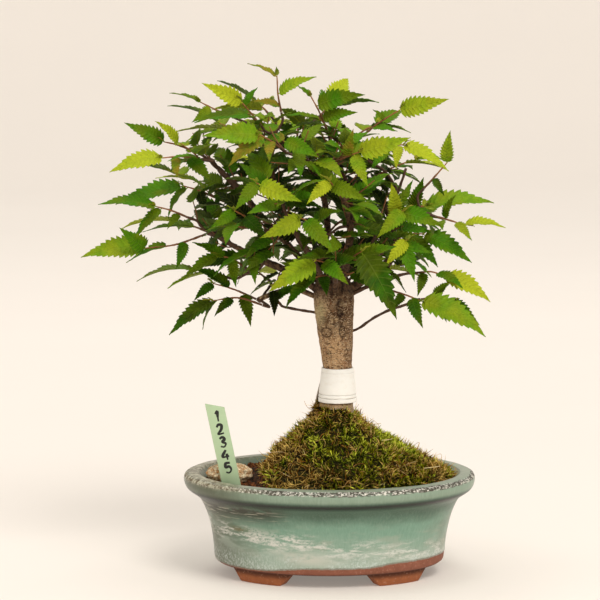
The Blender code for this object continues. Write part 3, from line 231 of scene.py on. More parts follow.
# Leafy sprays that show from the front. First the twig as (x, z, depth) on the sight lines,
# then its leaves as (place along the twig, tip x, tip z, tip depth from the twig, how far the
# blade turns from facing up to facing the front, tone)
FRONT_SPRAYS = {
    "crown_tip": (
        [(-33, 318, 0), (-35, 328, 0), (-36, 343, 0)],
        [(1.0, -56, 351, -2, 0.25, "bronze"), (0.5, -9, 342, -6, 0.5, "fresh"),
         (0.15, -54, 325, -8, 0.4, "bronze")]),
    "top_left": (
        [(-46, 308, -6), (-54, 318, -8), (-60, 325, -8)],
        [(1.0, -87, 338, -8, 0.75, "bright"), (0.85, -49, 335, 2, 0.4, "mid"),
         (0.4, -92, 311, 4, 0.3, "mid")]),
    "upper_left_far": (
        [(-64, 314, 10), (-78, 320, 12), (-88, 325, 12)],
        [(1.0, -109, 331, 4, 0.15, "mid"), (0.92, -109, 307, 8, 0.3, "mid"),
         (0.7, -94, 311, -8, 0.9, "fresh")]),
    "top_centre": (
        [(-2, 306, -10), (-7, 318, -12), (-13, 329, -12)],
        [(0.7, 24, 330, -8, 0.8, "mid"), (1.0, -22, 336, 2, 0.3, "mid"),
         (0.35, 19, 318, -6, 0.7, "mid")]),
    "upper_right": (
        [(22, 302, 0), (35, 312, -2), (48, 320, -4)],
        [(0.95, 81, 327, -6, 0.75, "fresh"), (0.6, 29, 320, 4, 0.5, "mid"),
         (0.3, 46, 305, -10, 0.4, "mid")]),
    "right_tip": (
        [(64, 266, 4), (73, 276, 2), (80, 284, 2)],
        [(1.0, 82, 306, -4, 0.95, "fresh"), (0.95, 109, 290, 2, 0.1, "mid"),
         (0.4, 78, 261, -4, 0.6, "deep")]),
    "right_shoulder": (
        [(34, 291, -24), (42, 295, -28), (50, 296, -30)],
        [(1.0, 81, 278, -8, 0.4, "bright"), (0.85, 45, 279, -8, 0.5, "bright"),
         (0.4, 28, 279, -6, 0.7, "mid")]),
    "shoulder_front": (
        [(4, 284, -44), (12, 288, -52), (20, 291, -56)],
        [(1.0, 55, 301, -4, 0.8, "fresh"), (0.8, 26, 267, -8, 0.85, "fresh"),
         (0.5, 16, 307, 0, 0.5, "bronze")]),
    "upper_left": (
        [(-94, 292, 8), (-104, 296, 8), (-113, 298, 8)],
        [(1.0, -140, 311, -6, 0.75, "mid"), (0.9, -146, 286, 4, 0.15, "mid"),
         (0.5, -119, 312, -10, 0.5, "bright")]),
    "left_shoulder": (
        [(-88, 286, -16), (-101, 288, -18), (-114, 287, -20)],
        [(1.0, -150, 277, -8, 0.5, "bright"), (0.65, -104, 273, -8, 0.9, "bronze"),
         (0.3, -80, 270, -10, 0.8, "deep")]),
    "front_high_left": (
        [(-34, 294, -54), (-41, 299, -62), (-48, 303, -66)],
        [(1.0, -87, 302, -6, 0.7, "fresh"), (0.8, -69, 281, -12, 0.5, "bronze"),
         (0.5, -41, 284, -10, 0.95, "bronze")]),
    "front_high": (
        [(-18, 288, -54), (-25, 294, -62), (-32, 299, -66)],
        [(0.95, -7, 287, -10, 0.85, "mid"), (1.0, 0, 307, -2, 0.3, "bronze"),
         (0.3, -20, 273, -8, 0.8, "mid")]),
    "left_outer_high": (
        [(-78, 260, 6), (-90, 265, 6), (-100, 268, 6)],
        [(1.0, -146, 255, -4, 0.35, "mid"), (0.85, -110, 246, 6, 0.3, "mid"),
         (0.5, -84, 249, -12, 0.8, "dark")]),
    "left_outer": (
        [(-96, 246, -4), (-108, 251, -6), (-119, 254, -6)],
        [(1.0, -161, 255, -6, 0.4, "mid"), (0.8, -134, 231, -2, 0.3, "mid"),
         (0.3, -111, 238, -8, 0.6, "deep")]),
    "left_outer_low": (
        [(-84, 235, 0), (-106, 226, 0), (-128, 222, 0)],
        [(1.0, -170, 219, -4, 0.6, "fresh"), (0.95, -149, 244, -8, 0.9, "mid"),
         (0.6, -139, 215, 6, 0.25, "mid"), (0.35, -105, 211, -8, 0.9, "deep")]),
    "left_lower": (
        [(-58, 212, 0), (-67, 218, -2), (-76, 220, -2)],
        [(1.0, -101, 203, 4, 0.4, "mid"), (0.5, -64, 198, -8, 0.8, "mid"),
         (0.75, -94, 229, 4, 0.4, "mid")]),
    "left_skirt": (
        [(-50, 190, 8), (-66, 197, 10), (-80, 201, 10)],
        [(1.0, -93, 189, -6, 0.7, "deep"), (0.6, -94, 212, 4, 0.3, "deep"),
         (0.3, -54, 171, -10, 0.85, "deep")]),
    "left_bottom": (
        [(-46, 186, -10), (-62, 191, -12), (-80, 189, -12)],
        [(1.0, -110, 165, -4, 0.35, "deep"), (0.92, -87, 169, 4, 0.2, "deep"),
         (0.6, -79, 178, -8, 0.6, "deep")]),
    "low_left": (
        [(-34, 187, 2), (-37, 191, 0), (-39, 197, -2)],
        [(1.0, -38, 178, -8, 0.8, "dark"), (0.8, -60, 200, 4, 0.4, "deep"),
         (0.4, -18, 200, -4, 0.5, "deep")]),
    "front_low_left": (
        [(0, 206, -30), (-6, 206, -36), (-13, 204, -40)],
        [(1.0, -30, 184, -8, 0.35, "deep"), (0.7, -36, 216, -6, 0.7, "mid"),
         (0.4, -2, 192, -10, 0.8, "deep")]),
    "front_low": (
        [(4, 211, -50), (-2, 215, -62), (-10, 217, -70)],
        [(1.0, -42, 195, -8, 0.9, "fresh"), (0.7, 13, 200, -10, 0.85, "mid"),
         (0.35, 20, 218, -6, 0.7, "deep")]),
    "front_left": (
        [(-6, 238, -56), (-13, 243, -66), (-20, 246, -74)],
        [(1.0, -48, 232, -8, 0.9, "fresh"), (0.8, 3, 222, -10, 0.9, "mid"),
         (0.4, 8, 251, -6, 0.6, "deep")]),
    "front_top": (
        [(-36, 260, -64), (-43, 266, -74), (-50, 270, -82)],
        [(1.0, -65, 251, -8, 0.9, "mid"), (0.9, -19, 257, -8, 0.85, "fresh"),
         (0.4, -58, 280, -6, 0.6, "deep")]),
    "front_centre": (
        [(8, 260, -56), (4, 266, -66), (0, 271, -72)],
        [(1.0, -16, 255, -8, 0.9, "bright"), (0.8, 26, 258, -8, 0.8, "mid"),
         (0.4, -12, 281, -6, 0.6, "mid")]),
    "front_left_face": (
        [(-50, 240, -48), (-58, 247, -58), (-65, 251, -64)],
        [(1.0, -82, 239, -8, 0.9, "mid"), (0.6, -42, 231, -8, 0.8, "deep"),
         (0.4, -76, 262, -6, 0.6, "dark")]),
    "front_big_leaf": (
        [(12, 216, -48), (17, 220, -58), (22, 223, -66)],
        [(1.0, 46, 176, -14, 0.95, "deep"), (0.7, -2, 205, -10, 0.9, "mid"),
         (0.5, 44, 226, -6, 0.7, "deep")]),
    "front_right": (
        [(38, 244, -36), (45, 249, -44), (51, 251, -50)],
        [(1.0, 32, 232, -10, 0.95, "fresh"), (0.7, 76, 240, -8, 0.7, "mid"),
         (0.5, 42, 268, -6, 0.6, "fresh")]),
    "right_yellow": (
        [(38, 224, -34), (46, 229, -42), (53, 231, -48)],
        [(1.0, 38, 213, -8, 0.95, "bright"), (0.75, 58, 202, -6, 0.85, "mid"),
         (0.4, 68, 222, -4, 0.6, "mid")]),
    "right_outer": (
        [(48, 230, 6), (56, 235, 6), (64, 235, 6)],
        [(1.0, 97, 215, -4, 0.5, "mid"), (0.85, 96, 229, 4, 0.4, "bright"),
         (0.4, 74, 212, -6, 0.6, "deep")]),
    "right_outer_high": (
        [(48, 248, 10), (56, 252, 12), (65, 254, 12)],
        [(1.0, 112, 256, 0, 0.35, "fresh"), (0.85, 89, 245, 4, 0.4, "mid"),
         (0.5, 64, 274, -4, 0.6, "deep")]),
    "right_far": (
        [(72, 247, 0), (83, 244, 0), (92, 241, 0)],
        [(1.0, 120, 239, -2, 0.3, "bright"), (0.7, 98, 229, -6, 0.5, "fresh"),
         (0.3, 86, 262, -4, 0.4, "mid")]),
    "right_lower": (
        [(58, 208, 0), (69, 209, -2), (79, 206, -2)],
        [(1.0, 110, 188, -4, 0.6, "bright"), (0.7, 92, 197, 6, 0.4, "mid"),
         (0.3, 60, 192, -8, 0.7, "deep")]),
    "right_bottom": (
        [(42, 196, -8), (52, 193, -10), (62, 189, -12)],
        [(1.0, 107, 164, -6, 0.5, "fresh"), (0.7, 64, 170, -10, 0.9, "deep"),
         (0.4, 42, 182, -8, 0.7, "deep")]),
    "low_right": (
        [(62, 190, 8), (73, 191, 10), (84, 189, 10)],
        [(1.0, 103, 172, -8, 0.9, "mid"), (0.6, 80, 174, -4, 0.6, "mid"),
         (0.4, 84, 203, 2, 0.5, "mid")]),
}

# Sprays round the sides and back: rows of (height, number of sprays, half-width of the crown)
BACK_ROWS = [(204.0, 4, 98.0), (236.0, 4, 116.0), (268.0, 4, 112.0), (294.0, 3, 86.0),
             (312.0, 2, 48.0)]
CROWN_X, CROWN_DEPTH_RATIO = -24.0, 0.88
BACK_TURN = (8.0, 172.0)                               # degrees from +x, by way of the back
BACK_START, BACK_MIDDLE, BACK_REACH = 0.58, 0.12, 0.24     # twig points, in shares of half-width
BACK_RISE, BACK_ROW_RISE, BACK_STRAY = 0.18, 0.12, (0.12, 6.0)    # stray aside and in height
BACK_HABIT = {"leaves": 3, "step": 0.3, "spread": (0.35, 0.95), "droop": (-0.55, 0.05),
              "forward": 1.0, "lengths": (30.0, 40.0), "turn": (0.2, 0.7)}

# Twigs and leaves of the solids
TWIG_SIDES, TWIG_END_RADIUS = 4, 0.95
TWIG_GROWTH = 0.62                # power by which radius grows with the leafy ends carried
TURN_BACK_COST = 0.9              # how strongly a branch avoids turning back
ARRIVAL, ARRIVAL_SHARE = 10.0, 0.35        # last straight stretch of a branch
BENT_FROM, JOINTED_FROM, BEND_SHARE = 18.0, 6.0, 0.10
SPRAY_RADII = (0.9, 0.62)
LEAF_THICKNESS, LEAF_STALK, LEAF_WIDTH, LEAF_ARCH, LEAF_FOLD = 0.7, 0.42, 0.40, 0.07, 0.30
LEAF_TEETH = [(0.17, 0.80), (0.42, 1.0), (0.49, 0.78), (0.72, 0.64)]
TWIG_NUDGES = [0.0, 3.0, 6.0, 9.0, 12.0]
LEAF_NUDGES = [0.0, 5.0, -5.0, 9.0, -9.0, 14.0, -14.0, 19.0, -19.0]

# Brightness of a leaf from 0, old and shaded, to 1, young, and how bronze it is
TONES = {"dark": (0.06, 0.0), "deep": (0.26, 0.0), "mid": (0.48, 0.0), "fresh": (0.72, 0.0),
         "bright": (0.95, 0.0), "bronze": (0.58, 0.75)}
BACK_TONES = ("deep", "mid", "fresh", "mid", "bright")

# Fine leaves: outline of the blade, half-widths along it, and its form
ENVELOPE = [(0.0, 0.08), (0.03, 0.36), (0.08, 0.68), (0.16, 0.92), (0.27, 1.0), (0.38, 0.97),
            (0.50, 0.85), (0.62, 0.66), (0.74, 0.44), (0.84, 0.26), (0.92, 0.12), (1.0, 0.01)]
BLADE_START, TEETH_END = 0.055, 0.93
# One tooth, then the tip: place along, width against the outline, and vein count
TOOTH = ((0.0, 0.80, 0.12), (0.50, 0.97, 0.55), (0.97, 1.10, 1.0))
BLADE_TIP = ((0.955, 0.85, 0.3), (1.0, 1.0, 0.6))
TOOTH_SWEEP = 0.13
FINE_THICKNESS = 0.28
COLUMNS, PLAIN_COLUMNS = (-1.0, -0.52, 0.0, 0.52, 1.0), (-1.0, 0.0, 1.0)
MIDRIB = (0.03, 0.08, 0.2, 0.4, 0.6, 0.8, 0.92)
PLAIN_MIDRIB = (0.1, 0.4, 0.8)
RIB_RADIUS, RIB_TAPER, RIB_FULL_LENGTH = 0.45, 0.35, 22.0
# How much single leaves vary in arch, fold, twist, sideways sway and brightness
ARCHES, FOLDS, TWIST, SWAY, TONE_CHANGE = (0.7, 1.3), (0.6, 1.3), 0.35, 0.035, 0.08
PUFF, WAVE, WAVE_BEAT = 0.16, 0.35, 1.7                # height between veins, and of the edge
FOLD_EASE, TWIST_FROM = (1.15, 0.3), 0.2
BUD_LENGTHS, BUD_TONE, BUD_BRONZE = (5.0, 9.0), 0.75, (0.2, 0.9)
BUD_SPREAD, BUD_LIFT = 0.8, (0.0, 0.6)

# Fine twigs: waves of their thickness, stray, and least radius
TWIG_WAVE, TWIG_SWELL, TWIG_STRAY, TWIG_LEAST = 0.10, 0.05, 0.12, 0.22
# Radii and youth at a shoot's three points
SPRAY_SHOOT = ((0.85, 0.62, 0.40), (0.15, 0.6, 0.9))
FILL_SHOOT = ((0.6, 0.5, 0.36), (0.1, 0.4, 0.7))
SHOOT_STEP = 1.5

# Extra shoots that fill the crown between the placed sprays
FILL_SHOOTS, FILL_TRIES = 330, 9000
FILL_THICKEST, FILL_LOWEST = 3.2, 205.0                # the wood that they grow from
FILL_LENGTHS, FILL_BEND, FILL_END_RISE = (12.0, 26.0), 1.5, 1.5
FILL_WAY = (0.4, 0.7, 0.9, 0.2)                        # shares of the wood's way, out, astray and up
FILL_LEAST_LEAVES, FILL_TONE_CHANGE = 2, (-0.08, 0.12)
# Spots on each leaf of the front sprays, along and across, that no inner leaf may hide
SIGHT_ALONG, SIGHT_ACROSS = (0.2, 0.4, 0.6, 0.8, 0.95), (-0.45, 0.45)
FILL_HABIT = {"leaves": 5, "step": 0.2, "spread": (0.3, 1.0), "droop": (-0.6, 0.15),
              "forward": 0.8, "lengths": (20.0, 33.0), "turn": (0.0, 0.8)}
CROWN_MIDDLE = Vector((-22.0, 2.0, 246.0))
CROWN_SIZE = Vector((116.0, 104.0, 92.0))
FRONT_OUTLINE = [(-62, 316), (-40, 322), (-14, 320), (12, 312), (34, 304), (52, 290), (66, 272),
                 (76, 252), (84, 236), (82, 212), (74, 194), (46, 190), (18, 192), (-14, 194),
                 (-34, 186), (-56, 180), (-84, 186), (-90, 206), (-84, 222), (-92, 238),
                 (-94, 262), (-112, 280), (-114, 294), (-92, 306)]
# Openings seen from the front: middle x and z, half-width and half-height
WINDOWS = [(2, 239, 8, 12), (-57, 235, 9, 9), (-39, 209, 9, 6), (-50, 259, 6, 7),
           (-27, 227, 7, 5), (-24, 201, 6, 5), (-69, 276, 6, 6), (56, 266, 5, 6), (-66, 224, 5, 4)]


def srgb(red, green, blue):
    """Linear colour of a display colour named from 0 to 255."""
    parts = [c / 255 for c in (red, green, blue)]
    return tuple(c / 12.92 if c <= 0.04045 else ((c + 0.055) / 1.055) ** 2.4 for c in parts) + (1.0,)


def smoothstep(value, start, end):
    share = min(1.0, max(0.0, (value - start) / (end - start)))
    return share * share * (3 - 2 * share)


def between(start, end, share):
    return start + (end - start) * share


def noise_at(x, y, z, size):
    """Smooth noise from -1 to 1 with features of about one size."""
    return noise.noise(Vector((x / size, y / size, z / size)))


def unevenness(x, y, z, waves):
    """Sum of noises that each have a height and a size."""
    return sum(height * noise_at(x, y, z, size) for height, size in waves)


class Finish:
    """A material on one Principled shader, painted in coats. Places are in millimetres. A colour is
    a display colour from 0 to 255, a linear one with its fourth value, or another node's."""

    def __init__(self, name):
        self.material = bpy.data.materials.new(name)
        self.material.use_nodes = True
        self.tree = self.material.node_tree
        self.shader = self.tree.nodes["Principled BSDF"]
        own = self.tree.nodes.new("ShaderNodeTexCoord").outputs["Object"]
        shift = tuple(-c for c in POT_CENTRE)
        self.place = self.node("VectorMath", {0: own, 1: (1000.0,) * 3, 2: shift},
                               operation="MULTIPLY_ADD").outputs[0]
        self.x, self.y, self.z = self.node("SeparateXYZ", {0: self.place}).outputs
        self.colour = None

    def put(self, sockets, values):
        """Links or sets inputs by name or number."""
        for key, value in values.items():
            if isinstance(value, bpy.types.NodeSocket):
                self.tree.links.new(value, sockets[key])
            else:
                sockets[key].default_value = value

    def node(self, kind, inputs, **settings):
        made = self.tree.nodes.new("ShaderNode" + kind)
        for key, value in settings.items():
            setattr(made, key, value)
        self.put(made.inputs, inputs)
        return made

    def math(self, operation, a, b=0.0, clamp=False):
        return self.node("Math", {0: a, 1: b}, operation=operation, use_clamp=clamp).outputs[0]

    def fold(self, operation, values):
        result = values[0]
        for value in values[1:]:
            result = self.math(operation, result, value)
        return result

    def times(self, *values):
        return self.fold("MULTIPLY", values)

    def plus(self, *values):
        return self.fold("ADD", values)

    def most(self, *values):
        return self.fold("MAXIMUM", values)

    def minus(self, a, b):
        return self.math("SUBTRACT", a, b)

    def ramp(self, value, start, end):
        """0 before start and 1 after end, smooth between; start may be the greater."""
        return self.node("MapRange", {"Value": value, "From Min": start, "From Max": end},
                         interpolation_type="SMOOTHSTEP").outputs["Result"]

    def hill(self, value, middle, reach):
        """1 at the middle, falling to 0 at a distance."""
        return self.ramp(self.math("ABSOLUTE", self.minus(value, middle)), reach, 0.0)

    def stretched(self, size):
        """The place in units of one size, or of one size across and another upward."""
        wide, tall = size if isinstance(size, tuple) else (size, size)
        return self.node("VectorMath", {0: self.place, 1: (1 / wide, 1 / wide, 1 / tall)},
                         operation="MULTIPLY").outputs[0]

    def noise(self, size, detail=3.0, rough=0.55, warp=0.0):
        inputs = {"Vector": self.stretched(size), "Scale": 1.0, "Detail": detail,
                  "Roughness": rough, "Distortion": warp}
        return self.node("TexNoise", inputs).outputs["Fac"]

    def patches(self, size, start, end, detail=3.0, rough=0.55, warp=0.0):
        """Patches where a noise passes from start to end."""
        return self.ramp(self.noise(size, detail, rough, warp), start, end)

    def swing(self, value, reach):
        """A noise made to swing about 0."""
        return self.times(self.minus(value, 0.5), reach)

    def cells(self, size, output="Distance"):
        return self.node("TexVoronoi", {"Vector": self.stretched(size), "Scale": 1.0}).outputs[output]

    def mix(self, share, a, b):
        a, b = (srgb(*c) if isinstance(c, tuple) and len(c) == 3 else c for c in (a, b))
        return self.node("Mix", {0: share, 6: a, 7: b}, data_type="RGBA").outputs[2]

    def coat(self, colour, *shares):
        """Lays a colour over the rest, as strongly as all its shares multiplied."""
        self.colour = self.mix(self.times(*shares), self.colour, colour)

    def attribute(self, name, part=None):
        made = self.node("Attribute", {}, attribute_name=name)
        if part is None:
            return made.outputs["Fac"]
        return self.node("SeparateXYZ", {0: made.outputs["Vector"]}).outputs[part]

    def bump(self, height, depth, after=None):
        """Relief whose height of 1 stands so many millimetres proud, over another relief."""
        inputs = {"Height": height, "Distance": depth * MM, "Strength": 1.0}
        if after is not None:
            inputs["Normal"] = after
        return self.node("Bump", inputs).outputs["Normal"]

    def done(self, rough, normal, **others):
        """The material; other inputs are named with _ for each space."""
        values = {"Base Color": self.colour, "Roughness": rough, "Normal": normal}
        values.update((key.replace("_", " "), value) for key, value in others.items())
        self.put(self.shader.inputs, values)
        return self.material


# Materials

def glaze_finish():
    """Celadon glaze with mineral smears, a stained lip and a bare clay foot."""
    f = Finish("celadon_glaze")
    streaks = f.noise((1.1, 14.0), 3.0, 0.6)
    coat_glaze(f, streaks)
    smears = coat_smears(f)
    stains = coat_lip(f)
    above = f.minus(f.plus(f.z, f.swing(f.noise(3.0), 1.6)), f.attribute("glaze_line"))
    over_line = f.ramp(above, -0.25, 0.25)
    f.coat((104, 76, 60), f.hill(above, 0.5, 1.1), 0.6)
    coat_clay(f, over_line)
    shine = f.plus(f.times(f.noise(6.0), 0.16), 0.24, f.times(f.most(smears, stains), 0.30))
    rough = f.node("Mix", {0: over_line, 2: 0.82, 3: shine}).outputs[0]
    normal = f.bump(f.noise(0.9), 0.07, f.bump(f.plus(smears, stains), 0.12, f.bump(streaks, 0.08)))
    return f.done(rough, normal, Specular_IOR_Level=0.32, Coat_Weight=0.05, Coat_Roughness=0.18)


def coat_glaze(f, streaks):
    """The glaze itself: paler lower down, greyer at the right end, painted shade at the left end,
    painted shade and shadow under the lip where the glaze also pools darker, and brown patches below
    the lip on the left.
    """
    level = f.plus(f.z, f.swing(f.noise((34.0, 16.0)), 22.0))
    f.colour = f.mix(f.ramp(level, 55.0, 40.0), (84, 112, 94), (122, 158, 138))
    f.coat((156, 172, 156), f.ramp(level, 40.0, 16.0))
    f.coat((142, 160, 140), f.ramp(f.z, 60.8, 64.0), 0.80)
    f.coat((176, 196, 180), f.ramp(streaks, 0.42, 0.72), 0.12)
    f.coat((84, 108, 92), f.ramp(streaks, 0.50, 0.28), 0.12)
    f.coat((160, 168, 152), f.patches((20.0, 7.0), 0.50, 0.66, 4.0, 0.6), f.ramp(f.z, 50.0, 34.0),
           0.5)
    # painted shade toward the left end of the pot
    f.coat((84, 86, 66), f.ramp(f.x, -38.0, -84.0), f.patches(16.0, 0.15, 0.5, 4.0), 0.85)
    f.coat((110, 112, 92), f.ramp(f.x, 60.0, 82.0), f.patches(12.0, 0.30, 0.62, 4.0),
           f.ramp(f.z, 52.0, 40.0), 0.4)
    # painted shade on the wall from z 43 up to the lip
    f.coat((56, 76, 60), f.ramp(f.z, 43.0, 55.0), f.ramp(f.z, 62.0, 58.5), 0.42)
    f.coat((48, 40, 28), f.hill(f.z, 53.0, 11.0), f.ramp(f.x, -22.0, -48.0),
           f.patches(9.0, 0.34, 0.50, 4.0), 0.8)
    # painted shadow just under the lip, over glaze that pools darker there
    f.coat((20, 20, 13), f.hill(f.z, 59.2, 3.8), f.patches((40.0, 5.0), 0.0, 0.40, 4.0))
    f.coat((188, 184, 164), f.hill(f.z, 50.0, 7.0), f.ramp(f.x, -16.0, -60.0),
           f.patches((16.0, 1.1), 0.53, 0.62, 4.0, 0.6), 0.75)


def coat_smears(f):
    """Milky veil, white smears, bloom, grit and a stain on the lower wall; returns the smears."""
    tilt = f.plus(f.z, f.times(f.x, 0.10))
    height = f.plus(tilt, f.swing(f.noise((18.0, 40.0), 2.0), 10.0))
    smears = f.times(f.patches((15.0, 3.4), 0.44, 0.57, 5.0, 0.62, 0.3),
                     f.patches((2.6, 1.3), 0.38, 0.52, 5.0, 0.75), f.hill(height, 28.5, 9.5))
    f.coat((184, 196, 184), f.patches((24.0, 6.0), 0.44, 0.62), f.hill(tilt, 24.0, 14.0), 0.38)
    f.coat((224, 223, 215), smears, f.plus(0.70, f.times(f.ramp(f.x, 10.0, -30.0), 0.22)))
    f.coat((206, 202, 190), f.hill(f.x, -16.0, 30.0), f.hill(tilt, 19.5, 7.0),
           f.ramp(f.y, 0.0, -20.0), f.patches((9.0, 3.0), 0.36, 0.56, 4.0, 0.6), 0.65)
    gritty = f.most(f.patches((22.0, 9.0), 0.40, 0.60, 2.0), f.times(f.ramp(f.x, -20.0, -46.0), 0.8))
    f.coat((206, 216, 212), f.ramp(f.z, 27.0, 15.0), f.patches((1.2, 1.8), 0.46, 0.60, 4.0, 0.7),
           0.65, gritty)
    f.coat((98, 90, 40), f.hill(f.x, -62.0, 11.0), f.hill(f.z, 38.5, 3.5), f.ramp(f.y, 0.0, -10.0),
           f.patches((5.0, 2.0), 0.36, 0.56, 4.0), 0.8)
    return smears


def coat_lip(f):
    """The lip's dull top, its stained and flecked edge, and its brown left end; returns the stains."""
    edge, top = f.attribute("lip_edge"), f.attribute("lip_top")
    f.coat((146, 150, 128), top, 0.55)
    rust = f.plus(f.noise((5.0, 1.6), 5.0, 0.72), f.swing(f.noise(26.0, 2.0), 0.35),
                  f.times(edge, 0.30))
    stains = f.times(f.ramp(rust, 0.60, 0.72), f.ramp(edge, 0.10, 0.50))
    f.coat((60, 48, 38), stains, 0.9)
    f.coat((226, 223, 210), f.patches((1.7, 0.9), 0.51, 0.58, 4.0, 0.65, 0.5),
           f.ramp(edge, 0.30, 0.70), f.patches(19.0, 0.22, 0.48, 2.0), 0.9)
    cream = f.mix(f.patches(3.6, 0.44, 0.58, 4.0, 0.7), (112, 98, 70), (196, 192, 166))
    f.coat(cream, f.most(top, edge), f.ramp(f.x, -34.0, -84.0),
           f.patches(7.0, 0.25, 0.50, 5.0, 0.7), 0.85)
    return stains


def coat_clay(f, over_line):
    """Red-brown clay below the glaze's edge, paler on the feet, with painted shade over the feet's
    upper part under the body.
    """
    glaze = f.colour
    pale = f.mix(f.noise(4.0, 4.0), (132, 74, 44), (178, 108, 66))
    # painted shade: the feet darken upward under the pot's body
    pale = f.mix(f.times(f.ramp(f.z, 3.6, 8.2), 0.85), pale, (58, 26, 16))
    f.colour = f.mix(f.noise(5.0, 5.0, 0.65), (112, 66, 50), (158, 100, 78))
    f.coat(pale, f.ramp(f.z, 10.0, 8.5))
    f.coat((196, 150, 124), f.patches(1.6, 0.58, 0.72), 0.4)
    f.coat((66, 36, 28), f.hill(f.z, 9.2, 0.9), 0.6)
    f.coat(glaze, over_line)


def bark_finish():
    """Grey-brown young bark with lenticels, creases and four scars, with painted shade along the cleft,
    at the fork and just under the strip.
    """
    f = Finish("zelkova_bark")
    mottle = f.noise((2.6, 3.6), 6.0, 0.68)
    tone = f.plus(mottle, f.swing(f.noise((8.0, 12.0)), 0.5))
    f.colour = f.mix(f.ramp(tone, 0.36, 0.60), (96, 65, 40), (190, 159, 120))
    f.coat((212, 170, 124), f.ramp(f.z, 174.0, 160.0), 0.50)
    front = f.ramp(f.y, 2.0, -2.0)
    smooth_skin = f.times(f.hill(f.x, -6.5, 6.0), f.hill(f.z, 182.0, 15.0), front)
    f.coat((188, 174, 130), smooth_skin, 0.8)
    f.coat((140, 86, 54), f.patches((3.0, 5.0), 0.50, 0.66, 4.0), 0.45)
    f.coat((92, 62, 40), f.ramp(f.plus(f.x, f.times(mottle, 6.0)), 9.0, 17.0), 0.5)
    creases = f.patches((9.0, 0.8), 0.56, 0.68, 4.0, 0.6)
    f.coat((84, 58, 38), creases, f.minus(1.0, smooth_skin), 0.5)
    rough_skin = f.minus(1.0, f.times(smooth_skin, 0.8))
    specks = f.times(f.ramp(f.cells((1.7, 0.8)), 0.36, 0.16), rough_skin, f.patches(4.0, 0.38, 0.55))
    pits = f.times(f.patches((2.4, 0.9), 0.42, 0.34, 5.0, 0.7), rough_skin)
    f.coat((242, 218, 182), specks, 0.9)
    f.coat((48, 27, 14), pits, 0.75)
    f.coat((48, 28, 15), f.patches((1.7, 0.6), 0.56, 0.61, 3.0, 0.6), rough_skin, 0.9)
    f.coat((234, 208, 170), f.patches((1.5, 0.9), 0.42, 0.36, 3.0, 0.6), rough_skin, 0.65)
    scars = scar_rings(f, front)
    f.coat((60, 34, 18), scars, 0.8)
    # painted shade along the cleft and in the fork
    f.coat((34, 18, 8), f.attribute("shade"), 0.9)
    # painted shade on the trunk's top under the crown, broken by the mottle
    fork = f.mix(f.ramp(mottle, 0.36, 0.62), (38, 23, 13), (112, 84, 60))
    f.coat(fork, f.ramp(f.z, 186.0, 202.0), 0.85)
    f.coat((196, 180, 146), f.ramp(f.z, BAND_BOTTOM, 116.0), 0.45)
    # painted shadow cast by the strip on the bark just under it
    f.coat((52, 34, 20), f.hill(f.z, 119.4, 1.6), 0.75)
    relief = f.minus(f.times(specks, 0.6), f.most(pits, scars))
    grain = f.noise((1.1, 1.8), 5.0, 0.65)
    normal = f.bump(grain, 0.55, f.bump(relief, 0.45, f.bump(creases, -0.3)))
    return f.done(0.84, normal, Specular_IOR_Level=0.25)


def scar_rings(f, front):
    """Broken rings round the scars on the front of the trunk."""
    wobble = f.swing(f.noise(1.6, 4.0, 0.7), 1.5)
    broken = f.patches(1.3, 0.25, 0.42)
    rings = []
    for middle_x, middle_z, wide, tall in SCARS:
        across = f.math("DIVIDE", f.minus(f.x, middle_x), wide)
        upward = f.math("DIVIDE", f.minus(f.z, middle_z), tall)
        away = f.math("SQRT", f.plus(f.times(across, across), f.times(upward, upward)))
        rings.append(f.times(f.hill(f.plus(away, wobble), 1.0, 0.34), front, broken))
    return f.most(*rings)


def shoot_finish():
    """Twigs: dark brown where they are thick, red-brown to green at the young ends."""
    f = Finish("shoot_bark")
    mottle = f.noise((1.5, 3.0), 4.0)
    old = f.mix(mottle, (52, 34, 24), (98, 70, 50))
    new = f.mix(mottle, (140, 72, 44), (168, 118, 58))
    f.colour = f.mix(f.attribute("young"), old, new)
    return f.done(0.7, f.bump(f.noise(0.8), 0.15), Specular_IOR_Level=0.3)


def leaf_finish():
    """Zelkova leaf: impressed side veins that run into the teeth, brighter when young."""
    f = Finish("zelkova_leaf")
    vein_count, upper = f.attribute("blade", 1), f.attribute("blade", 2)
    tone, bronze, across = (f.attribute("look", k) for k in range(3))
    veins = f.math("PINGPONG", vein_count, 0.5)
    side_vein = f.times(f.ramp(veins, 0.11, 0.0), f.ramp(across, 1.0, 0.85))
    vein = f.most(side_vein, f.ramp(across, 0.075, 0.02))
    patches, fine = f.noise(7.0, 4.0, 0.6), f.noise(1.1, 3.0, 0.6)
    shade = f.math("ADD", tone, f.swing(patches, 0.30), clamp=True)
    dark = f.mix(f.ramp(shade, 0.0, 0.45), (17, 23, 0), (93, 117, 10))
    pale = f.mix(f.ramp(shade, 0.45, 1.0), (93, 117, 10), (169, 179, 34))
    f.colour = f.mix(f.ramp(shade, 0.40, 0.50), dark, pale)
    cooler = f.node("VectorMath", {0: f.colour, 1: (0.46, 1.06, 0.70)}, operation="MULTIPLY")
    f.coat(cooler.outputs[0], f.patches(20.0, 0.60, 0.40, 1.0), f.ramp(shade, 1.0, 0.40), 0.85)
    f.coat((164, 112, 44), bronze, f.ramp(patches, 0.30, 0.62), 0.75)
    f.coat((30, 50, 4), f.ramp(fine, 0.35, 0.70), 0.20)
    f.coat((190, 204, 90), vein, 0.07)
    f.colour = f.mix(upper, f.mix(0.30, f.colour, (138, 160, 84)), f.colour)
    quilt = f.times(f.math("SINE", f.times(veins, math.pi)), 0.7)
    normal = f.bump(f.minus(quilt, f.times(vein, 0.6)), 0.30, f.bump(fine, 0.08))
    return f.done(f.plus(f.times(fine, 0.22), 0.42), normal, Specular_IOR_Level=0.06)


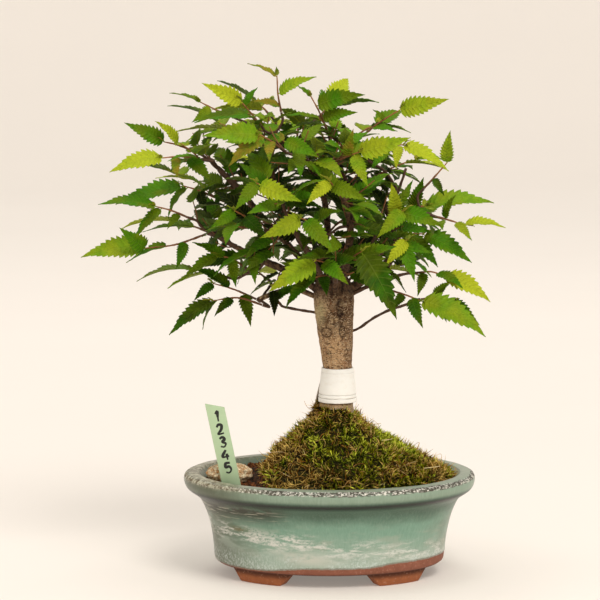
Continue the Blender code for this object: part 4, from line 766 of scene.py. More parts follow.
def moss_finish(name, low, middle, high):
    """Moss strand: dark at its foot, its own tone by the strand, paler at the tip."""
    f = Finish(name)
    rise, tone = f.attribute("strand", 0), f.attribute("strand", 1)
    patches = f.minus(f.noise(8.0), 0.5)
    shade = f.math("ADD", tone, f.times(patches, 1.2), clamp=True)
    shade = f.plus(f.times(shade, 0.8), f.times(f.ramp(rise, 0.4, 1.0), 0.30))
    f.colour = f.mix(f.ramp(shade, 0.15, 1.0), middle, high)
    f.coat(low, f.ramp(f.plus(rise, f.times(patches, 0.8)), 0.85, 0.15))
    return f.done(0.9, f.bump(f.noise(0.7, 2.0), 0.10), Specular_IOR_Level=0.04)


def crumb_finish(name, dark, light, size, rough, depth, gap=0.6):
    """Crumbly matter: grains of one size, some dark and some light, with painted shade in the gaps
    between them.
    """
    f = Finish(name)
    f.colour = f.mix(f.node("SeparateXYZ", {0: f.cells(size, "Color")}).outputs[0], dark, light)
    gaps = f.ramp(f.cells(size), 0.35, 0.75)
    # painted shade in the gaps between grains, as strong as gap
    f.coat(tuple(c * 0.3 for c in srgb(*dark)[:3]) + (1.0,), gaps, gap)
    fine = f.noise(size * 0.4, 4.0, 0.65)
    f.coat(light, f.ramp(fine, 0.40, 0.75), 0.35)
    return f.done(rough, f.bump(f.minus(f.times(fine, 0.6), gaps), depth), Specular_IOR_Level=0.2)


def plastic_finish(name, colour, dust, rough):
    """Moulded plastic with faint scuffs and a little dust."""
    f = Finish(name)
    scuffs = f.noise((10.0, 1.2), 4.0, 0.6)
    f.colour = f.mix(f.times(f.ramp(scuffs, 0.45, 0.75), 0.22), colour, dust)
    f.coat(dust, f.patches(1.6, 0.62, 0.74, 2.0), 0.10)
    return f.done(f.plus(f.times(scuffs, 0.2), rough - 0.1), f.bump(f.noise(2.5), 0.04))


def strip_finish():
    """White plastic strip: dark lines along its moulded grooves and a faint one near its top, dirt
    along its foot, a few faint scuffs, and painted shade on its loose end.
    """
    f = Finish("band_plastic")
    scuffs = f.noise((7.0, 4.0), 4.0, 0.6)
    f.colour = f.mix(f.times(f.ramp(scuffs, 0.48, 0.75), 0.20), (254, 252, 246), (216, 202, 180))
    # dark lines along the two moulded grooves and a faint one near the top
    for height, strength in ((BAND_GROOVES[0], 0.75), (BAND_GROOVES[1], 0.5), (BAND_TOP - 3.0, 0.2)):
        f.coat((120, 108, 92), f.hill(f.z, height, 0.45), f.patches((12.0, 3.0), 0.25, 0.55),
               strength)
    f.coat((172, 152, 120), f.ramp(f.z, BAND_BOTTOM + 1.2, BAND_BOTTOM), f.patches(4.0, 0.35, 0.6),
           0.4)
    # painted shade on the loose end
    f.coat((150, 132, 114), f.attribute("loose"), 0.75)
    return f.done(f.plus(f.times(scuffs, 0.2), 0.26), f.bump(f.noise(2.5), 0.04))


def ink_finish():
    f = Finish("digit_ink")
    wear = f.noise(0.9)
    f.colour = f.mix(wear, (6, 8, 6), (30, 32, 28))
    return f.done(0.5, f.bump(wear, 0.03))


# Meshes

def to_frame(points):
    """Millimetres from the pot's centre as metres in the shared frame."""
    return (np.asarray(points, float) + np.array(POT_CENTRE)) * MM


def mesh_of(name, points, faces):
    mesh = bpy.data.meshes.new(name)
    mesh.from_pydata(to_frame(points).tolist(), [], [list(face) for face in faces])
    return mesh


def in_scene(name, data):
    made = bpy.data.objects.new(name, data)
    bpy.context.scene.collection.objects.link(made)
    return made


def put_values(mesh, key, values):
    """One named value, or three, at each point for a material to read."""
    values = np.asarray(values, np.float32)
    kind, field = ("FLOAT", "value") if values.ndim == 1 else ("FLOAT_VECTOR", "vector")
    mesh.attributes.new(key, kind, "POINT").data.foreach_set(field, values.ravel())


def read_points(mesh, field):
    flat = np.zeros(len(mesh.vertices) * 3)
    mesh.vertices.foreach_get(field, flat)
    return flat.reshape(-1, 3)


def points_of(mesh):
    """A mesh's points in millimetres from the pot's centre."""
    return read_points(mesh, "co") / MM - np.array(POT_CENTRE)


def dress(name, mesh, material, slot, smooth, nodes=()):
    """A mesh as one finished piece on the root body, smooth up to an angle in degrees."""
    mesh.materials.clear()
    mesh.materials.append(material)
    mesh.shade_smooth()
    mesh.set_sharp_from_angle(angle=math.radians(smooth))
    piece = in_scene(name, mesh)
    if nodes:
        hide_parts(*nodes)
    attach(piece, "root")


def add_piece(name, points, faces, material, slot, smooth, nodes=(), values=None):
    """One finished piece from points and faces in millimetres."""
    mesh = mesh_of(name, points, faces)
    for key, value in (values or {}).items():
        put_values(mesh, key, value)
    dress(name, mesh, material, slot, smooth, nodes)


class Heap:
    """Gathers small shapes, with values at their points, for one piece."""

    def __init__(self, seed=0):
        self.chance = random.Random(seed)
        self.points, self.faces, self.values = [], [], {}

    def add(self, points, faces, **values):
        start = len(self.points)
        self.points += [tuple(p) for p in points]
        self.faces += [[start + i for i in face] for face in faces]
        for key, some in values.items():
            self.values.setdefault(key, []).extend(some)

    def make(self, name, material, slot, smooth, nodes=()):
        add_piece(name, self.points, self.faces, material, slot, smooth, nodes, self.values)


def helper(points, faces):
    """A bare object for a modifier to work with."""
    return in_scene("helper", mesh_of("helper", points, faces))


def bake(made):
    """The mesh of a helper with its modifiers applied."""
    graph = bpy.context.evaluated_depsgraph_get()
    mesh = bpy.data.meshes.new_from_object(made.evaluated_get(graph))
    made.modifiers.clear()
    made.data = mesh
    return mesh


def round_edges(made, width, segments, degrees):
    bevel = made.modifiers.new("round", "BEVEL")
    bevel.width, bevel.segments, bevel.angle_limit = width * MM, segments, math.radians(degrees)
    return bake(made)


def cut_or_join(made, others, operation):
    """A helper's mesh after other helpers are cut out of it or joined to it."""
    group = bpy.data.collections.new("others")
    bpy.context.scene.collection.children.link(group)
    for other in others:
        bpy.context.scene.collection.objects.unlink(other)
        group.objects.link(other)
    boolean = made.modifiers.new("join", "BOOLEAN")
    boolean.operation, boolean.solver = operation, "EXACT"
    boolean.operand_type, boolean.collection = "COLLECTION", group
    mesh = bake(made)
    for other in list(group.objects):
        bpy.data.objects.remove(other)
    bpy.data.collections.remove(group)
    return mesh


def smooth_path(spots, step):
    """Points about a step apart on a smooth curve through some spots, of any dimension."""
    spots = [np.asarray(spot, float) for spot in spots]
    gaps = [np.linalg.norm(b - a) for a, b in zip(spots, spots[1:])]
    ways = [(b - a) / gap for a, b, gap in zip(spots, spots[1:], gaps)]
    slopes = [ways[0]]
    for k in range(1, len(spots) - 1):
        before, after = gaps[k - 1], gaps[k]
        slopes.append((ways[k - 1] * after + ways[k] * before) / (before + after))
    slopes.append(ways[-1])
    path = []
    for k, gap in enumerate(gaps):
        count = max(1, round(gap / step))
        for n in range(count):
            t = n / count
            path.append(spots[k] * (1 + 2 * t) * (1 - t) ** 2 + slopes[k] * gap * t * (1 - t) ** 2
                        + spots[k + 1] * t * t * (3 - 2 * t) + slopes[k + 1] * gap * t * t * (t - 1))
    path.append(spots[-1])
    return path


def turns_of(count):
    return [2 * math.pi * j / count for j in range(count)]


def wall_faces(rows, count, closed=False):
    """Faces between rings of points; closed joins the last ring to the first."""
    faces = []
    for k in range(rows if closed else rows - 1):
        low, high = k * count, (k + 1) % rows * count
        faces += [(low + j, low + (j + 1) % count, high + (j + 1) % count, high + j)
                  for j in range(count)]
    return faces


def loft(rings):
    """Closed solid through rings that all have the same number of points."""
    count = len(rings[0])
    points = [p for ring in rings for p in ring]
    faces = [list(reversed(range(count)))] + wall_faces(len(rings), count)
    faces.append(list(range(len(points) - count, len(points))))
    return points, faces


def ring_frames(path):
    """Two directions across a path at each of its points, without twist."""
    tangents = []
    for k in range(len(path)):
        before, after = path[max(k - 1, 0)], path[min(k + 1, len(path) - 1)]
        tangents.append((after - before).normalized())
    side = tangents[0].orthogonal().normalized()
    frames = []
    for tangent in tangents:
        side = (side - tangent * side.dot(tangent)).normalized()
        frames.append((side, tangent.cross(side)))
    return frames


def tube(path, radii, sides):
    rings = []
    for spot, radius, (side, other) in zip(path, radii, ring_frames(path)):
        rings.append([spot + (math.cos(t) * side + math.sin(t) * other) * radius
                      for t in turns_of(sides)])
    return loft(rings)


def icosphere(subdivisions):
    """Points and faces of a ball of radius 1."""
    shape = bmesh.new()
    bmesh.ops.create_icosphere(shape, subdivisions=subdivisions, radius=1.0)
    points = [vert.co.copy() for vert in shape.verts]
    faces = [[vert.index for vert in face.verts] for face in shape.faces]
    shape.free()
    return points, faces


# Pot

def glaze_line(x):
    """Height of the glaze's lower edge: low at the left, high over the right end."""
    rise = GLAZE_RISE[0] * smoothstep(x, *GLAZE_RISE[1:])
    return GLAZE_LINE + rise - GLAZE_FALL[0] * smoothstep(-x, *GLAZE_FALL[1:])


def foot(sign_x, sign_y):
    """A curved foot that tapers downward, in sections round the oval."""
    sections = []
    for k in range(FOOT_STEPS + 1):
        corners = []
        for arc, (outer, inner, z) in ((FOOT_ARC_BOTTOM, FOOT_BOTTOM), (FOOT_ARC_TOP, FOOT_TOP)):
            turn = math.radians(between(*arc, k / FOOT_STEPS))
            corners.append([(sign_x * reach * math.cos(turn),
                             sign_y * (reach - POT_LENGTH_EXTRA) * math.sin(turn), z)
                            for reach in (outer, inner)])
        (low_out, low_in), (top_out, top_in) = corners
        sections.append([low_out, top_out, top_in, low_in])
    points, faces = loft(sections)
    if sign_x * sign_y < 0:
        faces = [list(reversed(face)) for face in faces]
    made = helper(points, faces)
    round_edges(made, *FOOT_BEVEL)
    return made


def pot_ring(reach, z):
    """One ring of the pot's skin, with the glaze's thickness and the hand-made unevenness."""
    ring = []
    for turn in turns_of(POT_SIDES):
        c, s = math.cos(turn), math.sin(turn)
        x, y = reach * c, (reach - POT_LENGTH_EXTRA) * s
        line = glaze_line(x)
        over = smoothstep(z, line - GLAZE_EDGE, line + GLAZE_EDGE) * GLAZE_THICKNESS
        out = (over + unevenness(x, y, z, POT_WAVES)) * smoothstep(z, *PLAIN_BELOW)
        lift = LIP_WAVE[0] * noise_at(x, y, 0.0, LIP_WAVE[1]) * smoothstep(z, *LIP_WAVE_FROM)
        ring.append((x + out * c, y + out * s, z + lift))
    return ring


def mark_glaze(mesh):
    """Tells the glaze where the lip's edge and top are, and how high its lower edge is."""
    places = points_of(mesh)
    z = places[:, 2]
    beyond = []
    for x, y, _ in places:
        turn = math.atan2(y / POT_HALF_WIDTH, x / POT_HALF_LENGTH)
        beyond.append(math.hypot(x, y) - math.hypot(POT_HALF_LENGTH * math.cos(turn),
                                                    POT_HALF_WIDTH * math.sin(turn)))
    reach = POT_HALF_LENGTH + np.array(beyond)
    away = np.hypot(reach - LIP_EDGE[0], z - LIP_EDGE[1])
    put_values(mesh, "lip_edge", np.clip(LIP_EDGE_FULL - away / LIP_EDGE_REACH, 0, 1))
    put_values(mesh, "lip_top", np.clip((z - LIP_TOP_START[0]) / LIP_TOP_START[1], 0, 1)
               * np.clip((LIP_TOP_END[0] - reach) / LIP_TOP_END[1], 0, 1))
    line = np.array([glaze_line(x) for x in places[:, 0]])
    wall = np.interp(z, [p[1] for p in POT_OUTSIDE], [p[0] for p in POT_OUTSIDE])
    inside = (reach < np.minimum(wall - WALL_LEAST, INSIDE_REACH)) & (z > INSIDE_BOTTOM)
    under = (z < UNDER_TOP) & (reach < UNDER_REACH)
    put_values(mesh, "glaze_line", np.where(inside, GLAZE_LINE_INSIDE, np.where(under, ALL_BARE, line)))


def make_pot():
    profile = smooth_path(POT_OUTSIDE, POT_STEP) + smooth_path(POT_INSIDE, POT_STEP * 2)
    pot = helper(*loft([pot_ring(reach, z) for reach, z in profile]))
    cut_or_join(pot, [foot(sx, sy) for sx in (-1, 1) for sy in (-1, 1)], "UNION")
    drains = []
    for side in (-1, 1):
        circle = [(side * DRAIN_X + DRAIN_RADIUS * math.cos(t), DRAIN_RADIUS * math.sin(t))
                  for t in turns_of(POT_SIDES)[::4]]
        drains.append(helper(*loft([[(x, y, z) for x, y in circle] for z in DRAIN_CUT])))
    mesh = cut_or_join(pot, drains, "DIFFERENCE")
    bpy.data.objects.remove(pot)
    mark_glaze(mesh)
    dress("pot_body", mesh, glaze_finish(), "glaze", SMOOTH["pot"], ["pot"])


# Soil and moss

def soil_height(share, turn):
    """Height of the mound at a share of the way out: steep, and shorter at the left."""
    left, right = max(0.0, -math.cos(turn)) ** 2, max(0.0, math.cos(turn)) ** 2
    peak = SOIL_PEAK - SOIL_RIGHT_DROP * right
    power = SOIL_SLOPE + (SOIL_LEFT_SLOPE - SOIL_SLOPE) * left
    power += (SOIL_RIGHT_SLOPE - SOIL_SLOPE) * right
    foot_share = 1.0 - (1.0 - SOIL_LEFT_FOOT) * left
    return SOIL_EDGE + (peak - SOIL_EDGE) * max(0.0, 1.0 - share / foot_share) ** power


def mound_ends(turn):
    """Inner and outer end of the mound's line at a turn, and how far out the moss reaches."""
    c, s = math.cos(turn), math.sin(turn)
    inner = (TRUNK_X + HOLE_RADIUS * c, HOLE_RADIUS * s)
    outer = (SOIL_EDGE_HALF_LENGTH * c, (SOIL_EDGE_HALF_LENGTH - POT_LENGTH_EXTRA) * s)
    edge = MOSS_LEFT_EDGE + MOSS_EDGE_WAVE * math.sin(3.0 * turn)
    reach = MOSS_REACH
    if outer[0] < edge:
        reach = min(MOSS_REACH, (inner[0] - edge) / (inner[0] - outer[0]))
    return inner, outer, reach


def mound_point(turn, share):
    inner, outer, _ = mound_ends(turn)
    x, y = (between(a, b, share) for a, b in zip(inner, outer))
    return x, y, soil_height(share, turn)


def moss_lift(turn, share):
    """Height of the moss's upper side over the soil at a share of its reach: cushions and tufts,
    rounded off toward the edge and thicker against the trunk."""
    x, y, _ = mound_point(turn, share * mound_ends(turn)[2])
    a, b, c, d = CUSHION_WAVES
    cushions = CUSHION_HEIGHTS[0] * math.sin(a * x + 0.5) * math.cos(b * y)
    cushions += CUSHION_HEIGHTS[1] * math.sin(c * x - d * y)
    tufts = sum(height * noise_at(x, y, level, size) for height, level, size in TUFTS)
    full = max(MOSS_LEAST, MOSS_THICKNESS + cushions + tufts)
    near_edge = math.sqrt(smoothstep(share, *MOSS_EDGE_SOFT))
    collar = MOSS_COLLAR * (1.0 - smoothstep(share, 0.0, MOSS_COLLAR_REACH))
    return full * between(MOSS_EDGE_LEAST, 1.0, near_edge) + collar


def make_moss_bed():
    """The carpet under the strands: outward over the soil and back over the cushions."""
    layers = [(k / MOSS_BED_LAYERS, False) for k in range(MOSS_BED_LAYERS + 1)]
    layers += [(k / MOSS_STEPS, True) for k in range(MOSS_STEPS, -1, -1)]
    points = []
    for share, top in layers:
        for turn in turns_of(MOSS_SIDES):
            x, y, z = mound_point(turn, share * mound_ends(turn)[2])
            z += GAP
            points.append((x, y, z + moss_lift(turn, share) if top else z))
    faces = wall_faces(len(layers), MOSS_SIDES, closed=True)
    material = crumb_finish("moss_bed", (20, 18, 2), (66, 60, 9), 1.6, 0.95, 0.8)
    add_piece("moss_bed", points, faces, material, "moss", SMOOTH["moss_bed"], ["moss"])


def moss_kind(x, y, z, chance):
    """Which moss grows at a place: green nearly everywhere, bright high on the right, and brown
    strands on the left, low down, at the far right and round the trunk."""
    patch = 0.7 * noise_at(x, y, 1.0, 15.0)
    bright = 0.12 + patch + 0.45 * smoothstep(x, -6.0, 22.0) * smoothstep(z, 72.0, 92.0)
    brown = 0.22 - patch + 0.38 * smoothstep(-x, -8.0, 26.0) + 0.20 * smoothstep(z, 94.0, 72.0)
    brown += 0.45 * smoothstep(x, 60.0, 76.0) + 0.30 * smoothstep(z, 98.0, 108.0)
    not_green = max(0.0, bright) + max(0.0, brown)
    pick = chance.uniform(0.0, max(1.0, not_green))
    if pick < bright:
        return "bright"
    return "brown" if pick < not_green else "green"


def moss_spots():
    """Strewn spots on the moss, closer round the trunk: by kind, the place, upward way and size."""
    chance = random.Random(SEEDS["moss"])
    spots = {kind: [] for kind in MOSS_KINDS}
    wide = SOIL_EDGE_HALF_LENGTH * MOSS_REACH
    while sum(len(some) for some in spots.values()) < MOSS_TUFTS:
        turn = chance.uniform(0, 2 * math.pi)
        _, outer, reach = mound_ends(turn)
        far = math.hypot(outer[0] - TRUNK_X, outer[1])
        share = chance.uniform(0.0, reach)
        radius = HOLE_RADIUS + (far - HOLE_RADIUS) * share
        crowding = COLLAR_CROWDING if share < MOSS_COLLAR_REACH * reach else 1.0
        if chance.random() > crowding * radius * (far - HOLE_RADIUS) * reach / wide ** 2:
            continue
        x, y, z = mound_point(turn, share)
        x2, y2, z2 = mound_point(turn, min(1.0, share + 0.04))
        outward = Vector((x2 - x, y2 - y, z2 - z)).normalized()
        up = (UP - outward * outward.z * 0.8).normalized()
        z += GAP + moss_lift(turn, share / reach) - TUFT_SUNK
        size = 0.7 + 0.3 * smoothstep(share, 0.0, 0.20)
        spots[moss_kind(x, y, z, chance)].append(((x, y, z), tuple(up), size))
    return spots


def unit(rows):
    return rows / np.linalg.norm(rows, axis=1)[:, None]


def make_moss_strands(kind, spots):
    """Tufts of thin bent blades over the moss bed."""
    seed, number, lengths, widths, spread, curl, colours = MOSS_KINDS[kind]
    chance = np.random.default_rng(seed)
    clumps, count = len(spots), len(spots) * number
    owner = np.repeat(np.arange(clumps), number)
    places, ways, sizes = (np.array([spot[k] for spot in spots]) for k in range(3))
    aside = chance.normal(0, 1, (count, 3))
    lean = unit(aside)
    base = places[owner] + aside * TUFT_SPREAD
    leans = chance.uniform(STRAND_LEAN[0], spread + STRAND_LEAN[1], count)
    way = unit(ways[owner] + lean * leans[:, None])
    out, stray, down = STRAND_BEND
    bend = lean * curl * out + chance.normal(0, curl * stray, (count, 3)) - ways[owner] * curl * down
    long = chance.uniform(*lengths, count) * chance.uniform(*TUFT_LENGTHS, clumps)[owner]
    long *= sizes[owner]
    side = unit(np.cross(way, chance.normal(0, 1, (count, 3))))
    wide = chance.uniform(*widths, count) / 2
    tone = chance.uniform(0, 1, clumps)[owner] + chance.normal(0, TUFT_TONE_STRAY, count)
    tone = np.clip(tone, 0, 1)
    points, marks = [], []
    for t, edges in STRAND_ROWS:
        middle = base + way * (long * t)[:, None] + bend * (long * t * t * 0.6)[:, None]
        for edge in edges:
            points.append(middle + side * (wide * edge)[:, None])
            marks.append(np.stack([np.full(count, t), tone, tone], 1))
    corners = len(points)
    points, marks = (np.stack(some, 1).reshape(-1, 3) for some in (points, marks))
    faces = []
    for face in STRAND_FACES:
        faces += np.stack([np.arange(count) * corners + c for c in face], 1).tolist()
    add_piece("moss_" + kind, points, faces, moss_finish("moss_" + kind, *colours), "moss",
              SMOOTH["strands"], values={"strand": marks})


def make_straws(spots):
    """Dry stalks and hair-fine runners that lie over the moss or stand out of it."""
    straws = Heap(SEEDS["straws"])
    chance = straws.chance
    for n in range(STRAWS):
        place, up, _ = chance.choice(spots)
        place, up = Vector(place), Vector(up)
        kind = STOUT_STRAW if n < STOUT_STRAWS else FINE_STRAW
        long = chance.uniform(*kind["lengths"])
        flat = Vector((chance.uniform(-1, 1), chance.uniform(-1, 1), 0)).normalized()
        rise = STOUT_RISE if n < STOUT_STRAWS else chance.uniform(*FINE_RISE)
        way = (flat + up * rise).normalized()
        bend = Vector([chance.uniform(-1, 1) for _ in range(3)]) * long * kind["bend"]
        start = place + up * kind["lift"]
        sag = long * kind["sag"]
        bent = [start + way * long * t + bend * math.sin(math.pi * t) - UP * (sag * t * t)
                for t in (0, 0.25, 0.5, 0.75, 1)]
        path = [Vector(p) for p in smooth_path(bent, STRAW_STEP)]
        radii = [kind["radius"] * (1.0 - 0.5 * k / len(path)) for k in range(len(path))]
        points, faces = tube(path, radii, STRAW_SIDES)
        tone = chance.uniform(*kind["tones"])
        straws.add(points, faces, strand=[(0.75, tone, tone)] * len(points))
    straws.make("moss_straws", moss_finish("moss_straw", *STRAW_COLOURS), "moss", SMOOTH["straws"])


def make_moss():
    make_moss_bed()
    spots = moss_spots()
    for kind, some in spots.items():
        make_moss_strands(kind, some)
    make_straws([spot for some in spots.values() for spot in some])


def make_grains():
    """Loose soil grains on the bare end and along the edge."""
    grains = Heap(SEEDS["grains"])
    chance = grains.chance
    ball, corners = icosphere(2)
    made = 0
    while made < GRAINS:
        turn = chance.uniform(0, 2 * math.pi)
        reach = mound_ends(turn)[2]
        share = chance.uniform(reach - GRAINS_UNDER_MOSS, GRAINS_END)
        if reach > FEW_GRAINS[0] and chance.random() < FEW_GRAINS[1]:
            continue
        x, y, z = mound_point(turn, share)
        size = chance.uniform(*GRAIN_SIZES)
        seed = chance.uniform(0, 50)
        stretch = [chance.uniform(*GRAIN_STRETCH) for _ in range(3)]
        points = []
        for p in ball:
            bump = noise.noise(p * GRAIN_BUMPS[1] + Vector((seed, 0, 0)))
            swell = size * (1 + GRAIN_BUMPS[0] * bump)
            points.append((x + p.x * swell * stretch[0], y + p.y * swell * stretch[1],
                           z + 0.5 * size + p.z * swell * stretch[2]))
        grains.add(points, corners)
        made += 1
    material = crumb_finish("soil_grain", (44, 26, 16), (158, 94, 50), 1.1, 0.95, 0.3)
    grains.make("soil_grains", material, "soil", SMOOTH["grains"])


# Strip, label and fertiliser

def make_band():
    """The strip, wound once round and lapped over its start, its last end loose and drooping."""
    outer = [(BAND_BOTTOM + 0.2, 0.7)]
    for groove in BAND_GROOVES:
        outer += [(groove + away, thick) for away, thick in BAND_GROOVE]
    outer += [(BAND_TOP - 0.5, 1.0), (BAND_TOP - 0.05, 0.7)]
    top_edge = [(BAND_TOP, 0.3), (BAND_TOP - 0.1, 0.0)]
    bottom_edge = [(BAND_BOTTOM + 0.1, 0.0), (BAND_BOTTOM, 0.3)]
    sections, marks = [], []
    for k in range(BAND_STEPS + 1):
        share = k / BAND_STEPS
        turn = math.radians(BAND_START + share * BAND_TURN)
        lap = BAND_LAP * smoothstep(share, *BAND_RISE)
        free = smoothstep(share, BAND_LOOSE[0], 1.0)
        section = []
        for z, thick in bottom_edge + outer + top_edge:
            height = (z - BAND_BOTTOM) / (BAND_TOP - BAND_BOTTOM)
            reach = between(*BAND_RADII, height) + thick * BAND_THICKNESS + lap
            reach += BAND_LOOSE[1] * free * (1.0 - height)
            section.append((BAND_X + reach * math.cos(turn), reach * math.sin(turn),
                            z - BAND_DROP * free))
        sections.append(section)
        # how much painted shade each point gets toward the loose end
        marks += [smoothstep(share, *BAND_END_SHADE)] * len(section)
    add_piece("band_strip", *loft(sections), strip_finish(), "white_plastic", SMOOTH["band"],
              ["trunk_band"], {"loose": marks})


def make_label():
    """The label's plate and, brushed on it, the digits."""
    top, at_soil = from_front(*LABEL_TOP), from_front(*LABEL_AT_SOIL)
    down = (at_soil - top).normalized()
    across = Vector((1, 0, 0)).lerp(Vector((0, -1, 0)), math.sin(math.radians(LABEL_TURN)))
    across = (across - down * across.dot(down)).normalized()
    out = across.cross(down)
    half, thick = LABEL_WIDTH / 2, LABEL_THICKNESS / 2
    outline = [(-half, -LABEL_SLANT), (half, LABEL_SLANT), (half, LABEL_LENGTH - LABEL_POINT),
               (LABEL_TIP, LABEL_LENGTH), (-LABEL_TIP, LABEL_LENGTH),
               (-half, LABEL_LENGTH - LABEL_POINT)]
    plate = helper(*loft([[top + across * a + down * d + out * side * thick for a, d in outline]
                          for side in (-1, 1)]))
    mesh = round_edges(plate, *LABEL_BEVEL)
    bpy.data.objects.remove(plate)
    finish = plastic_finish("label_plastic", (176, 200, 160), (190, 200, 170), 0.5)
    dress("label_plate", mesh, finish, "label_plastic", SMOOTH["label"], ["plant_label"])
    front = out if out.y < 0 else -out
    digits = Heap()
    for number, strokes in enumerate(DIGITS):
        for stroke in strokes:
            spots = []
            for u, v in stroke:
                side = (u - 0.5) * DIGIT_WIDTH + DIGITS_ASIDE
                drop = DIGITS_START + number * DIGIT_PITCH + (1 - v) * DIGIT_HEIGHT
                spots.append(top + across * side + down * drop + front * (thick + STROKE_LIFT))
            digits.add(*ink_stroke([Vector(p) for p in smooth_path(spots, STROKE_STEP)], front))
    digits.make("label_digits", ink_finish(), "label_plastic", SMOOTH["label"])


def ink_stroke(path, front):
    """A brush stroke lying on the label, fuller in its middle."""
    rings = []
    for k, (spot, (side, other)) in enumerate(zip(path, ring_frames(path))):
        share = k / (len(path) - 1)
        wide = front.cross(side.cross(other)).normalized()
        half = STROKE_WIDTH / 2 * (0.55 + 0.45 * math.sin(math.pi * min(1.0, share * 1.2 + 0.1)))
        rings.append([spot + wide * half * math.cos(t) + front * STROKE_HEIGHT * math.sin(t)
                      for t in turns_of(STROKE_SIDES)])
    return loft(rings)


def make_ball():
    """The lumpy ball, flat where it lies on the soil."""
    ball, faces = icosphere(5)
    floor = SOIL_EDGE + GAP - BALL_CENTRE[2]
    points = []
    for p in ball:
        rough = 1.0 + BALL_BUMPS[0] * math.sin(7 * p.x + 2) * math.cos(6 * p.y)
        rough += BALL_BUMPS[1] * math.sin(11 * p.z + 5 * p.x)
        rough += (BALL_LUMPS[0] * noise.noise(p * 3.0)
                  + BALL_LUMPS[1] * noise.noise(p * 9.0 + Vector((5, 0, 0))))
        place = Vector([c * size for c, size in zip(p, BALL_SIZE)]) * rough
        place.z = max(place.z, floor)
        points.append(tuple(Vector(BALL_CENTRE) + place))
    material = crumb_finish("fertiliser", (192, 130, 70), (255, 240, 202), 1.5, 0.9, 0.40, 0.35)
    add_piece("fertiliser_lump", points, faces, material, "fertiliser", SMOOTH["ball"],
              ["fertiliser_ball"])


# Crown's layout, as the solids have it

def from_front(x, z, depth):
    """The place at a depth that is seen where x and z lie on the plane of the trunk."""
    flat = Vector((x, 0.0, z))
    return EYE + (flat - EYE) * (depth - EYE.y) / -EYE.y


def on_plane(place):
    """Where the sight line to a place crosses the plane of the trunk, as x and z."""
    sight = EYE + (place - EYE) * (-EYE.y / (place.y - EYE.y))
    return sight.x, sight.z


def point_along(path, place):
    """Point at a share of the path's length, kept inside its last millimetre."""
    lengths = [(b - a).length for a, b in zip(path, path[1:])]
    left = min(place * sum(lengths), sum(lengths) - 0.8)
    for a, b, length in zip(path, path[1:], lengths):
        if left <= length:
            return a.lerp(b, left / length)
        left -= length
    return path[-1]


class Leaf:
    """A leaf's place: base, tip and the direction that its upper side faces."""

    def __init__(self, base, tip, facing, tone="mid"):
        self.base, self.tip, self.tone = base, tip, tone
        self.length = (tip - base).length
        self.along = (tip - base).normalized()
        self.up = (facing - self.along * facing.dot(self.along)).normalized()
        self.across = self.up.cross(self.along)

    def point(self, t, s, lift=0.0):
        half = s * self.length * LEAF_WIDTH / 2
        rise = LEAF_ARCH * 4 * t * (1 - t) * self.length + LEAF_FOLD * abs(half)
        return self.base + self.along * t * self.length + self.across * half + self.up * (rise + lift)

    def plate(self, thickness):
        """The plain leaf of the solids, with both its sides and its edge."""
        stalk = LEAF_STALK / (self.length * LEAF_WIDTH / 2)
        edge = [(0.0, stalk)] + LEAF_TEETH
        outline = [(t, -s) for t, s in edge] + [(1.0, 0.0)] + [(t, s) for t, s in reversed(edge)]
        points = []
        for lift in (thickness / 2, -thickness / 2):
            points += [self.point(t, s, lift) for t, s in outline]
            points.append(self.point(0.5, 0.0, lift))
        count = len(outline)
        faces = []
        for j in range(count):
            after = (j + 1) % count
            under, under_after = j + count + 1, after + count + 1
            faces.append((j, after, count))
            faces.append((under_after, under, 2 * count + 1))
            faces.append((j, under, under_after, after))
        return points, faces


class Crowd:
    """What already stands in the crown, to keep new pieces clear of it."""

    def __init__(self):
        self.trees = []

    def add(self, owner, points, faces):
        self.trees.append((owner, BVHTree.FromPolygons(points, faces), *self.extent(points)))

    def extent(self, points):
        low = Vector([min(p[k] for p in points) for k in range(3)])
        high = Vector([max(p[k] for p in points) for k in range(3)])
        return (low + high) / 2, (high - low).length / 2

    def touches(self, points, faces, owner):
        tree = BVHTree.FromPolygons(points, faces)
        middle, reach = self.extent(points)
        return any(whose != owner and (middle - there).length <= reach + far and tree.overlap(other)
                   for whose, other, there, far in self.trees)


